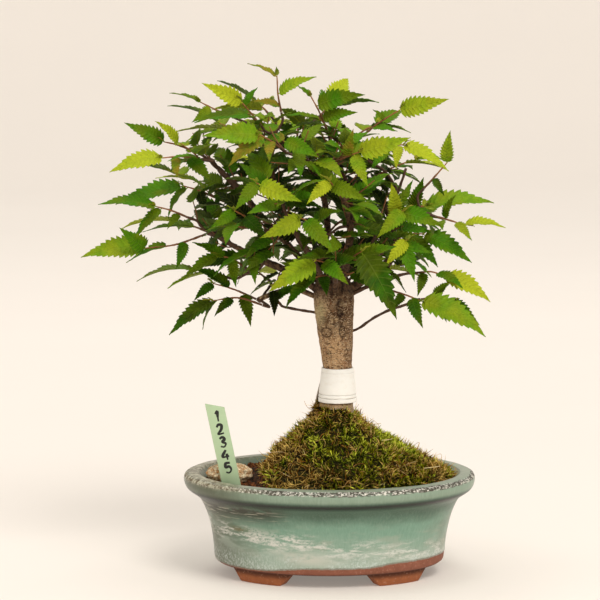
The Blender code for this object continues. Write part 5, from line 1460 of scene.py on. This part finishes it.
class Wood:
    """The branching wood as a tree of spots, each with its parent."""

    def __init__(self):
        self.spots, self.parents, self.shoots = [], [], []

    def add(self, spot, parent):
        self.spots.append(spot)
        self.parents.append(parent)
        return len(self.spots) - 1

    def add_limb(self, points):
        last = None
        for spot in points:
            last = self.add(spot, last)

    def heading(self, index):
        parent = self.parents[index]
        if parent is None:
            return UP
        return (self.spots[index] - self.spots[parent]).normalized()

    def cost(self, index, target):
        """Length of a new branch, longer where it would turn back sharply."""
        way = target - self.spots[index]
        turn_back = 1.0 - way.normalized().dot(self.heading(index))
        return way.length * (1.0 + TURN_BACK_COST * turn_back)

    def add_branch(self, target, direction):
        """Branch from the handiest spot to a target, arriving along a direction."""
        candidates = [i for i, parent in enumerate(self.parents)
                      if parent is not None and i not in self.shoots]
        start = min(candidates, key=lambda i: self.cost(i, target))
        first = self.spots[start]
        reach = (target - first).length
        last = start
        before = target - direction * min(ARRIVAL, reach * ARRIVAL_SHARE)
        if reach > BENT_FROM:
            bend = first + (before - first) * 0.5 + self.heading(start) * reach * BEND_SHARE
            last = self.add(bend, last)
        if reach > JOINTED_FROM:
            last = self.add(before, last)
        self.shoots.append(self.add(target, last))

    def loads(self):
        """How many leafy ends each spot carries."""
        load = [0] * len(self.spots)
        for shoot in self.shoots:
            index = shoot
            while index is not None:
                load[index] += 1
                index = self.parents[index]
        return load

    def tubes(self):
        """Paths from each branching point out, with the radius at each spot."""
        load = self.loads()
        radius = [TWIG_END_RADIUS * max(1, n) ** TWIG_GROWTH for n in load]
        children = {}
        for index, parent in enumerate(self.parents):
            children.setdefault(parent, []).append(index)
        starts = [(root, None) for root in children[None]]
        paths = []
        while starts:
            index, foot_spot = starts.pop()
            path = [] if foot_spot is None else [foot_spot]
            while index is not None:
                path.append(index)
                following = sorted(children.get(index, []), key=lambda i: -load[i])
                starts += [(other, index) for other in following[1:]]
                index = following[0] if following else None
            radii = [radius[i] for i in path]
            if foot_spot is not None:
                radii[0] = radii[1]
            paths.append(([self.spots[i] for i in path], radii))
        return paths


def front_sprays():
    for name, (twig, leaves) in FRONT_SPRAYS.items():
        path = [from_front(x, z, y) for x, z, y in twig]
        toward_eye = (EYE - path[0]).normalized()
        wanted = []
        for place, x, z, depth, turn, tone in leaves:
            tip = from_front(x, z, twig[-1][2] + depth)
            wanted.append((place, tip, UP.lerp(toward_eye, turn), toward_eye, tone))
        yield name, path, wanted


def leaf_places(path, way, outward, habit, chance):
    """Leaves on both sides of a twig by turns, from its end back: place, base, tip and facing."""
    sideways = way.cross(UP).normalized()
    for n in range(habit["leaves"]):
        place = 1.0 - habit["step"] * n
        side = (1 if n % 2 else -1) * habit["spread"][n > 0]
        droop = UP * chance.uniform(*habit["droop"])
        leaf_way = (way * habit["forward"] + sideways * side + droop).normalized()
        length = chance.uniform(*habit["lengths"])
        base = point_along(path, place)
        facing = UP.lerp(outward, chance.uniform(*habit["turn"]))
        yield place, base, base + leaf_way * length, facing


def back_sprays():
    """Sprays in rows round the sides and back."""
    chance = random.Random(SEEDS["back"])
    for row, (height, count, half_width) in enumerate(BACK_ROWS):
        for k in range(count):
            share = (k + 0.5 + chance.uniform(-BACK_STRAY[0], BACK_STRAY[0])) / count
            turn = math.radians(between(*BACK_TURN, share))
            way = Vector((math.cos(turn), CROWN_DEPTH_RATIO * math.sin(turn), 0.0))
            stray = chance.uniform(-BACK_STRAY[1], BACK_STRAY[1])
            middle = Vector((CROWN_X, 0.0, height + stray))
            rise = UP * (BACK_RISE + BACK_ROW_RISE * row)
            start = middle + way * half_width * BACK_START
            path = [start, start + (way + rise) * half_width * BACK_MIDDLE,
                    start + (way + rise * 0.8) * half_width * BACK_REACH]
            outward = (way.normalized() + UP * 0.5).normalized()
            twig_way = (path[-1] - path[0]).normalized()
            leaves = leaf_places(path, twig_way, outward, BACK_HABIT, chance)
            wanted = []
            for n, (place, _, tip, facing) in enumerate(leaves):
                tone = BACK_TONES[(row + 2 * n + k) % len(BACK_TONES)]
                wanted.append((place, tip, facing, outward, tone))
            yield "back_row_{}_{}".format(row + 1, k + 1), path, wanted


def limb_tube(path, radii, margin=0.0):
    sides = TWIG_SIDES + 1 if max(radii) > 2 * TWIG_END_RADIUS else TWIG_SIDES
    return tube(path, [r + margin for r in radii], sides)


def twig_tube(path, margin=0.0):
    last = len(path) - 1
    radii = [SPRAY_RADII[0] + (SPRAY_RADII[1] - SPRAY_RADII[0]) * k / last for k in range(last + 1)]
    return tube(path, [r + margin for r in radii], TWIG_SIDES)


def clear_twig(path, crowd, name):
    """The twig, its end moved aside until it is clear of all that stands."""
    for reach in TWIG_NUDGES:
        for swing in (Vector((0, reach, 0)), Vector((0, -reach, 0)), Vector((0, 0, reach))):
            path[1:] = [spot + swing * (k + 1) / (len(path) - 1) for k, spot in enumerate(path[1:])]
            if not crowd.touches(*twig_tube(path, GAP / 2), name):
                return twig_tube(path)
            path[1:] = [spot - swing * (k + 1) / (len(path) - 1) for k, spot in enumerate(path[1:])]
    return twig_tube(path)


def clear_leaf(base, tip, facing, shift_way, tone, crowd, owner):
    """The leaf, its tip moved until it is clear of all that stands, or none."""
    length = (tip - base).length
    for nudge in LEAF_NUDGES:
        way = (tip + shift_way * nudge - base).normalized()
        leaf = Leaf(base, base + way * length, facing, tone)
        if not crowd.touches(*leaf.plate(LEAF_THICKNESS + 2 * GAP), owner):
            return leaf
    return None


def plan_crown():
    """The wood, each spray's twig and leaves, and what stands where."""
    sprays = list(front_sprays()) + list(back_sprays())
    wood = Wood()
    for points in LIMBS.values():
        wood.add_limb([from_front(x, z, y) for x, z, y in points])
    fork = Vector((TRUNK_X, 0, TRUNK[-1][0]))
    for _, path, _ in sorted(sprays, key=lambda spray: (spray[1][0] - fork).length):
        wood.add_branch(path[0], (path[1] - path[0]).normalized())
    crowd = Crowd()
    trunk_path = [Vector((x, 0, z)) for z, x, _ in TRUNK]
    crowd.add("wood", *tube(trunk_path, [r + GAP for _, _, r in TRUNK], TRUNK_SIDES))
    for path, radii in wood.tubes():
        crowd.add("wood", *limb_tube(path, radii, GAP / 2))
    for name, path, _ in sprays:
        path[0] = path[0] + (path[1] - path[0]).normalized() * GAP
        crowd.add(name, *clear_twig(path, crowd, name))
    leaves = {}
    for name, path, wanted in sprays:
        leaves[name] = []
        for place, tip, facing, shift_way, tone in wanted:
            leaf = clear_leaf(point_along(path, place), tip, facing, shift_way, tone, crowd, name)
            if leaf:
                crowd.add(name + " leaf", *leaf.plate(LEAF_THICKNESS + 2 * GAP))
                leaves[name].append(leaf)
    return wood, {name: path for name, path, _ in sprays}, leaves, crowd


# Fine leaves and twigs

def leaf_template(teeth, columns):
    """Grid of a toothed blade: place along, half-width with sign, vein count and place across."""
    along_known, wide_known = zip(*ENVELOPE)
    rows = []
    for k in range(teeth):
        first = BLADE_START + (TEETH_END - BLADE_START) * k / teeth
        step = (TEETH_END - BLADE_START) / teeth
        rows += [(first + shift * step, wide, k + phase) for shift, wide, phase in TOOTH]
    rows += [(t, wide, teeth + phase) for t, wide, phase in BLADE_TIP]
    grid = []
    for edge_t, wide, phase in rows:
        half = wide * float(np.interp(edge_t, along_known, wide_known))
        middle_t = edge_t - TOOTH_SWEEP * math.sin(math.pi * min(1.0, edge_t)) ** 0.8
        middle_t = max(middle_t, BLADE_START * 0.9 if edge_t <= BLADE_START else BLADE_START)
        for column in columns:
            t = middle_t + (edge_t - middle_t) * abs(column) ** 1.2
            grid.append((t, half * column, phase, abs(column)))
    count, width = len(rows), len(columns)
    total = count * width
    faces = []
    for i in range(count - 1):
        for j in range(width - 1):
            a = i * width + j
            faces.append((a, a + 1, a + width + 1, a + width))
            faces.append((a + total + width, a + total + width + 1, a + total + 1, a + total))
    border = [(i * width, (i + 1) * width) for i in range(count - 1)]
    border += [((count - 1) * width + j, (count - 1) * width + j + 1) for j in range(width - 1)]
    border += [((i + 1) * width + width - 1, i * width + width - 1) for i in range(count - 1)]
    border += [(j + 1, j) for j in range(width - 1)]
    faces += [(a, b, b + total, a + total) for a, b in border]
    return np.array(grid), faces


TEMPLATES = [leaf_template(n, COLUMNS) for n in (9, 10)]
PLAIN_TEMPLATES = [leaf_template(n, PLAIN_COLUMNS) for n in (7, 8)]
BUD_TEMPLATE = leaf_template(4, PLAIN_COLUMNS)


class Foliage(Heap):
    """Gathers fine leaves and their ribs for one piece."""

    def add_leaf(self, leaf, template=None, tone=None, rib_sides=5):
        """A leaf with its own arch, fold, turn and sway, puffed between its veins."""
        chance = self.chance
        grid, faces = template or chance.choice(TEMPLATES)
        brightness, bronze = TONES[leaf.tone] if tone is None else tone
        brightness += chance.uniform(-TONE_CHANGE, TONE_CHANGE)
        t, s, phase, column = grid.T
        length, half = leaf.length, s * leaf.length * LEAF_WIDTH / 2
        arch = LEAF_ARCH * chance.uniform(*ARCHES)
        fold = LEAF_FOLD * chance.uniform(*FOLDS)
        hump = 4 * t * (1 - t)
        puff = PUFF * np.sin(np.pi * (phase % 1.0)) * np.sin(np.pi * column)
        wave = WAVE * np.sin(phase * WAVE_BEAT + chance.uniform(0, 6)) * column ** 2
        ease = FOLD_EASE[0] - FOLD_EASE[1] * column
        rise = arch * hump * length + fold * np.abs(half) * ease + puff + wave
        turn = chance.uniform(-TWIST, TWIST) * (t - TWIST_FROM)
        base, along, up, across = (np.array(v) for v in (leaf.base, leaf.along, leaf.up, leaf.across))
        sideways = half * np.cos(turn) + chance.uniform(-SWAY, SWAY) * hump * length
        rise = rise + half * np.sin(turn)
        middle = base + np.outer(t * length, along) + np.outer(sideways, across) + np.outer(rise, up)
        skin = up * FINE_THICKNESS / 2
        blade = [(*row, side) for side in (1.0, 0.0) for row in zip(t, phase)]
        self.add(np.concatenate([middle + skin, middle - skin]).tolist(), faces, blade=blade,
                 look=[(brightness, bronze, c) for _ in range(2) for c in column])
        rib = [Vector(leaf.base)]
        for share in MIDRIB if rib_sides > 4 else PLAIN_MIDRIB:
            lift = arch * 4 * share * (1 - share) * length - FINE_THICKNESS * 0.5
            rib.append(Vector(base + along * share * length + up * lift))
        scale = min(1.0, length / RIB_FULL_LENGTH)
        radii = [scale * (RIB_RADIUS - RIB_TAPER * k / (len(rib) - 1)) for k in range(len(rib))]
        points, faces = tube(rib, radii, rib_sides)
        self.add(points, faces, blade=[(0.5, 0.0, 1.0)] * len(points),
                 look=[(min(1.0, brightness + 0.15), bronze, 0.0)] * len(points))


class Twigs(Heap):
    """Gathers smooth round twigs for one piece."""

    def grow(self, spots, radii, young, sides=7, step=WOOD_STEP):
        """A twig through spots, with a radius and an age at each; young is 0 to 1."""
        path = smooth_path([(*spot, *rest) for spot, *rest in zip(spots, radii, young)], step)
        beat = self.chance.uniform(0, 6)
        places, sizes = [], []
        for k, row in enumerate(path):
            swell = 1.0 + TWIG_WAVE * math.sin(k * 1.3 + beat)
            swell += self.chance.uniform(-TWIG_SWELL, TWIG_SWELL)
            stray = [self.chance.uniform(-TWIG_STRAY, TWIG_STRAY) * row[3] for _ in range(3)]
            places.append(Vector(row[:3]) + Vector(stray))
            sizes.append(max(TWIG_LEAST, row[3] * swell))
        points, faces = tube(places, sizes, sides)
        self.add(points, faces, young=[row[4] for row in path for _ in range(sides)])


def smooth_tube(rows, sides):
    """A tube through places that each have a radius."""
    path = smooth_path(rows, WOOD_STEP)
    return tube([Vector(p[:3]) for p in path], [p[3] for p in path], sides)


def make_wood(wood):
    """Trunk and thick limbs grown together, then the thinner twigs."""
    thick, twigs = Heap(), Twigs(SEEDS["twigs"])
    thick.add(*smooth_tube([(x, 0.0, z, r) for z, x, r in TRUNK], FINE_TRUNK_SIDES))
    for path, radii in wood.tubes():
        last = max([0] + [k for k, r in enumerate(radii) if r >= THICK_RADIUS])
        if last > 0:
            rows = [(*p, r) for p, r in zip(path[:last + 1], radii)]
            thick.add(*smooth_tube(rows, FINE_LIMB_SIDES))
        if last < len(path) - 1:
            twigs.grow(path[last:], radii[last:], [0.0] * (len(path) - last))
    body = helper(thick.points, thick.faces)
    remesh = body.modifiers.new("grow", "REMESH")
    remesh.mode, remesh.voxel_size = "VOXEL", WOOD_VOXEL * MM
    smooth = body.modifiers.new("ease", "SMOOTH")
    smooth.factor, smooth.iterations = WOOD_EASE
    mesh = bake(body)
    bpy.data.objects.remove(body)
    places, normals = points_of(mesh), read_points(mesh, "normal")
    shade = []
    for k, (x, y, z) in enumerate(places.tolist()):
        relief, dark = bark_relief(x, y, z)
        places[k] += normals[k] * relief
        shade.append(dark)
    mesh.vertices.foreach_set("co", to_frame(places).ravel())
    mesh.update()
    put_values(mesh, "shade", shade)
    dress("trunk_and_limbs", mesh, bark_finish(), "bark", SMOOTH["trunk"], ["tree_wood"])
    twigs.make("twigs", shoot_finish(), "bark", SMOOTH["twigs"])


def scar_relief(x, y, z, middle_x, middle_z, wide, tall):
    """Height of a pruning scar's raised rim on the front of the trunk."""
    if y > -3:
        return 0.0
    away = math.hypot((x - middle_x) / wide, (z - middle_z) / tall)
    rim = SCAR_RIM[0] * math.exp(-((away - 1) / SCAR_RIM[1]) ** 2)
    rim -= SCAR_DIP[0] * math.exp(-(away / SCAR_DIP[1]) ** 2)
    least, change, size = SCAR_CHANGE
    return rim * (least + change * noise_at(x, y, z, size))


def bark_relief(x, y, z):
    """How far the bark stands out at a place, and how much painted shade it gets there."""
    height, squeeze, size = BARK_STREAKS
    relief = unevenness(x, y, z, BARK_WAVES)
    relief += height * noise_at(x, y, z * squeeze, size) * smoothstep(z, *STREAKS_END)
    dark = 0.0
    for scar in SCARS:
        relief += scar_relief(x, y, z, *scar)
    if y < 0:
        centre = CLEFT_X + CLEFT_SWAY * math.sin(z * 0.6)
        cleft = math.exp(-((x - centre) / CLEFT_WIDTH) ** 2) * smoothstep(z, *CLEFT_RISE)
        relief -= CLEFT_DEPTH * cleft
        broad = math.exp(-((x - centre) / CLEFT_SHADE_WIDTH) ** 2) * smoothstep(z, *CLEFT_SHADE_RISE)
        least, change, size = CLEFT_SHADE
        dark = max(dark, broad * (least + change * noise_at(x, y, z, size)), 0.8 * cleft)
    return relief, max(dark, FORK_SHADE * smoothstep(z, *FORK_SHADE_RISE))


# Shoots that fill the crown

def crown_share(place):
    """0 in the crown's middle and 1 on the surface of its body."""
    away = place - CROWN_MIDDLE
    return sum((away[k] / CROWN_SIZE[k]) ** 2 for k in range(3))


def inside_crown(place):
    """Whether a place is in the crown's body and clear of the openings seen from the front."""
    if crown_share(place) > 1.0:
        return False
    x, z = on_plane(place)
    if any(((x - wx) / rx) ** 2 + ((z - wz) / rz) ** 2 < 1 for wx, wz, rx, rz in WINDOWS):
        return False
    crossings = 0
    for (x1, z1), (x2, z2) in zip(FRONT_OUTLINE, FRONT_OUTLINE[1:] + FRONT_OUTLINE[:1]):
        if (z1 > z) != (z2 > z) and x < x1 + (x2 - x1) * (z - z1) / (z2 - z1):
            crossings += 1
    return crossings % 2 == 1


class Sight:
    """Spots on the placed leaves that stay in sight from the front."""

    def __init__(self, leaves):
        self.spots = [leaf.point(t, s) for name, some in leaves.items() if not name.startswith("back")
                      for leaf in some for t in SIGHT_ALONG for s in SIGHT_ACROSS]
        self.seen = np.array([on_plane(spot) for spot in self.spots])
        self.depth = np.array([spot.y for spot in self.spots])

    def hidden_by(self, points, faces):
        seen = np.array([on_plane(point) for point in points])
        nearest = min(point.y for point in points)
        close = ((self.seen > seen.min(axis=0)) & (self.seen < seen.max(axis=0))).all(axis=1)
        close &= self.depth > nearest
        if not close.any():
            return False
        tree = BVHTree.FromPolygons(points, faces)
        for k in np.flatnonzero(close):
            way = (EYE - self.spots[k]).normalized()
            if tree.ray_cast(self.spots[k] + way, way)[0] is not None:
                return True
        return False


def fill_starts(wood):
    """Places on the thinner wood, with its way there, for more shoots to grow from."""
    starts = []
    for path, radii in wood.tubes():
        for a, b, r in zip(path, path[1:], radii[1:]):
            if r < FILL_THICKEST and (a + b).z > 2 * FILL_LOWEST:
                way = (b - a).normalized()
                starts += [(a.lerp(b, 0.5), way), (b, way)]
    return starts


def inner_light(tip):
    """Brightness of an inner leaf, as painted light and shade: more toward the crown's outside and top,
    less deep inside and in front.
    """
    high = smoothstep(tip.z, 190.0, 320.0)
    light = 0.06 + 0.80 * smoothstep(math.sqrt(crown_share(tip)), 0.45, 1.0) * (0.45 + 0.55 * high)
    return light * 0.8 if tip.y < 0 else light


def make_fill(wood, leaves, crowd, leaf_material, shoot_material):
    """More leafy shoots off the limbs, each kept clear of all that stands already."""
    chance = random.Random(SEEDS["fill"])
    sight, starts = Sight(leaves), fill_starts(wood)
    foliage = [Foliage(SEEDS["inner_leaves"] + n) for n in range(4)]
    twigs = Twigs(SEEDS["inner_shoots"])
    grown = 0
    for _ in range(FILL_TRIES):
        if grown == FILL_SHOOTS:
            break
        start, heading = chance.choice(starts)
        outward = start - CROWN_MIDDLE
        outward = Vector((outward.x, outward.y, outward.z * 0.6)).normalized()
        stray = Vector([chance.gauss(0, 1) for _ in range(3)]).normalized()
        ahead, out, astray, up = FILL_WAY
        way = (heading * ahead + outward * out + stray * astray + UP * up).normalized()
        long = chance.uniform(*FILL_LENGTHS)
        bend = Vector([chance.uniform(-FILL_BEND, FILL_BEND) for _ in range(3)])
        path = [start, start + way * long * 0.5 + bend, start + way * long + UP * FILL_END_RISE]
        if not inside_crown(path[-1]):
            continue
        own = []
        for _, base, tip, facing in leaf_places(path, way, outward, FILL_HABIT, chance):
            leaf = Leaf(base, tip, facing)
            if not (inside_crown(leaf.tip) and inside_crown(base.lerp(leaf.tip, 0.55))):
                continue
            plate = leaf.plate(LEAF_THICKNESS)
            if crowd.touches(*plate, "fill") or sight.hidden_by(*plate):
                continue
            crowd.add("fill leaf", *plate)
            own.append(leaf)
        if len(own) < FILL_LEAST_LEAVES:
            continue
        grown += 1
        twigs.grow(path, *FILL_SHOOT, sides=6)
        home = foliage[(path[-1].y > CROWN_MIDDLE.y) * 2 + (path[-1].x > CROWN_MIDDLE.x)]
        for leaf in own:
            template, light = chance.choice(PLAIN_TEMPLATES), inner_light(leaf.tip)
            home.add_leaf(leaf, template, (light + chance.uniform(*FILL_TONE_CHANGE), 0.0), 4)
    for some, where in zip(foliage, ("front_left", "front_right", "back_left", "back_right")):
        some.make("inner_leaves_" + where, leaf_material, "leaf", SMOOTH["leaves"])
    twigs.make("inner_shoots", shoot_material, "bark", SMOOTH["twigs"])


def make_sprays(paths, leaves, leaf_material, shoot_material):
    """A fine spray for each plain one, and all their shoots as one piece."""
    shoots = Twigs(SEEDS["shoots"])
    for number, (name, path) in enumerate(paths.items()):
        shoots.grow(path, *SPRAY_SHOOT, step=SHOOT_STEP)
        foliage = Foliage(SEEDS["spray_leaves"] + number)
        for leaf in leaves[name]:
            foliage.add_leaf(leaf)
        add_buds(foliage, path)
        foliage.make("leaves_" + name, leaf_material, "leaf", SMOOTH["leaves"], ["spray_" + name])
    shoots.make("spray_shoots", shoot_material, "bark", SMOOTH["twigs"])


def add_buds(foliage, path):
    """Two small unfolding leaves at a shoot's end."""
    chance = foliage.chance
    way = (path[-1] - path[-2]).normalized()
    sideways = way.cross(UP).normalized()
    for side in (-1, 1):
        lift = UP * chance.uniform(*BUD_LIFT)
        leaf_way = (way + sideways * side * BUD_SPREAD + lift).normalized()
        tip = path[-1] + leaf_way * chance.uniform(*BUD_LENGTHS)
        tone = (BUD_TONE, chance.uniform(*BUD_BRONZE))
        foliage.add_leaf(Leaf(path[-1], tip, Vector((0, 0.2, 1))), BUD_TEMPLATE, tone)


def make_plain_nodes():
    """Finishes for the solids that stay as they are."""
    soil = crumb_finish("soil_crumb", (38, 24, 15), (96, 64, 40), 2.2, 0.96, 0.9)
    mesh = plastic_finish("mesh_plastic", (36, 42, 36), (96, 84, 66), 0.55)
    for name, material in (("soil", soil), ("drain_mesh_left", mesh), ("drain_mesh_right", mesh)):
        for slot in frame["nodes"][name].material_slots:
            slot.material = material


# Stage, camera and light

def make_stage():
    """A pale floor that curves up into a low wall all round."""
    f = Finish("paper")
    f.colour = f.mix(f.noise(300.0, 2.0), (212, 204, 195), (216, 208, 199))
    away = f.node("VectorMath", {0: f.place}, operation="LENGTH").outputs["Value"]
    near, far = STAGE_GLOW
    glow = f.plus(near, f.times(f.ramp(away, *STAGE_GLOW_REACH), far - near))
    paper = f.done(0.9, f.bump(f.noise(3.0), 0.02), Specular_IOR_Level=0.1,
                   Emission_Color=srgb(255, 246, 234), Emission_Strength=glow)
    profile = [(STAGE_RADIUS - STAGE_CURVE, 0.0)]
    for k in range(1, STAGE_TURNS + 1):
        turn = math.radians(90 * k / STAGE_TURNS)
        profile.append((STAGE_RADIUS - STAGE_CURVE * (1 - math.sin(turn)),
                        STAGE_CURVE * (1 - math.cos(turn))))
    profile.append((STAGE_RADIUS, STAGE_HEIGHT))
    points = [(r * math.cos(t), -r * math.sin(t), z) for r, z in profile for t in turns_of(STAGE_SIDES)]
    faces = [list(reversed(range(STAGE_SIDES)))] + wall_faces(len(profile), STAGE_SIDES)
    mesh = bpy.data.meshes.new("backdrop")
    mesh.from_pydata(points, [], faces)
    mesh.materials.append(paper)
    mesh.shade_smooth()
    in_scene("backdrop", mesh)


def turned_along(way):
    return way.to_track_quat("-Z", "Y").to_euler()


def make_camera():
    data = bpy.data.cameras.new("camera")
    data.lens, data.sensor_width = LENS, SENSOR
    camera = in_scene("camera", data)
    camera.location = (EYE + Vector(POT_CENTRE)) * MM
    camera.rotation_euler = turned_along(AIM - EYE)
    bpy.context.scene.camera = camera


def make_light():
    world = bpy.data.worlds.new("studio")
    world.use_nodes = True
    shade = world.node_tree.nodes["Background"].inputs
    shade["Color"].default_value = WORLD_COLOUR
    shade["Strength"].default_value = WORLD_STRENGTH
    bpy.context.scene.world = world
    for name, (place, size, power, colour) in LAMPS.items():
        data = bpy.data.lights.new(name, "AREA")
        data.shape, data.size, data.energy, data.color = "SQUARE", size, power, colour
        lamp = in_scene(name, data)
        lamp.location = place
        lamp.rotation_euler = turned_along(Vector(LAMP_AIM) - Vector(place))
    bpy.context.scene.view_settings.view_transform = "Standard"


def main():
    make_camera()
    make_stage()
    make_light()
    make_plain_nodes()
    make_pot()
    make_moss()
    make_grains()
    make_band()
    make_label()
    make_ball()
    wood, paths, leaves, crowd = plan_crown()
    leaf_material, shoot_material = leaf_finish(), shoot_finish()
    make_wood(wood)
    make_sprays(paths, leaves, leaf_material, shoot_material)
    make_fill(wood, leaves, crowd, leaf_material, shoot_material)


main()
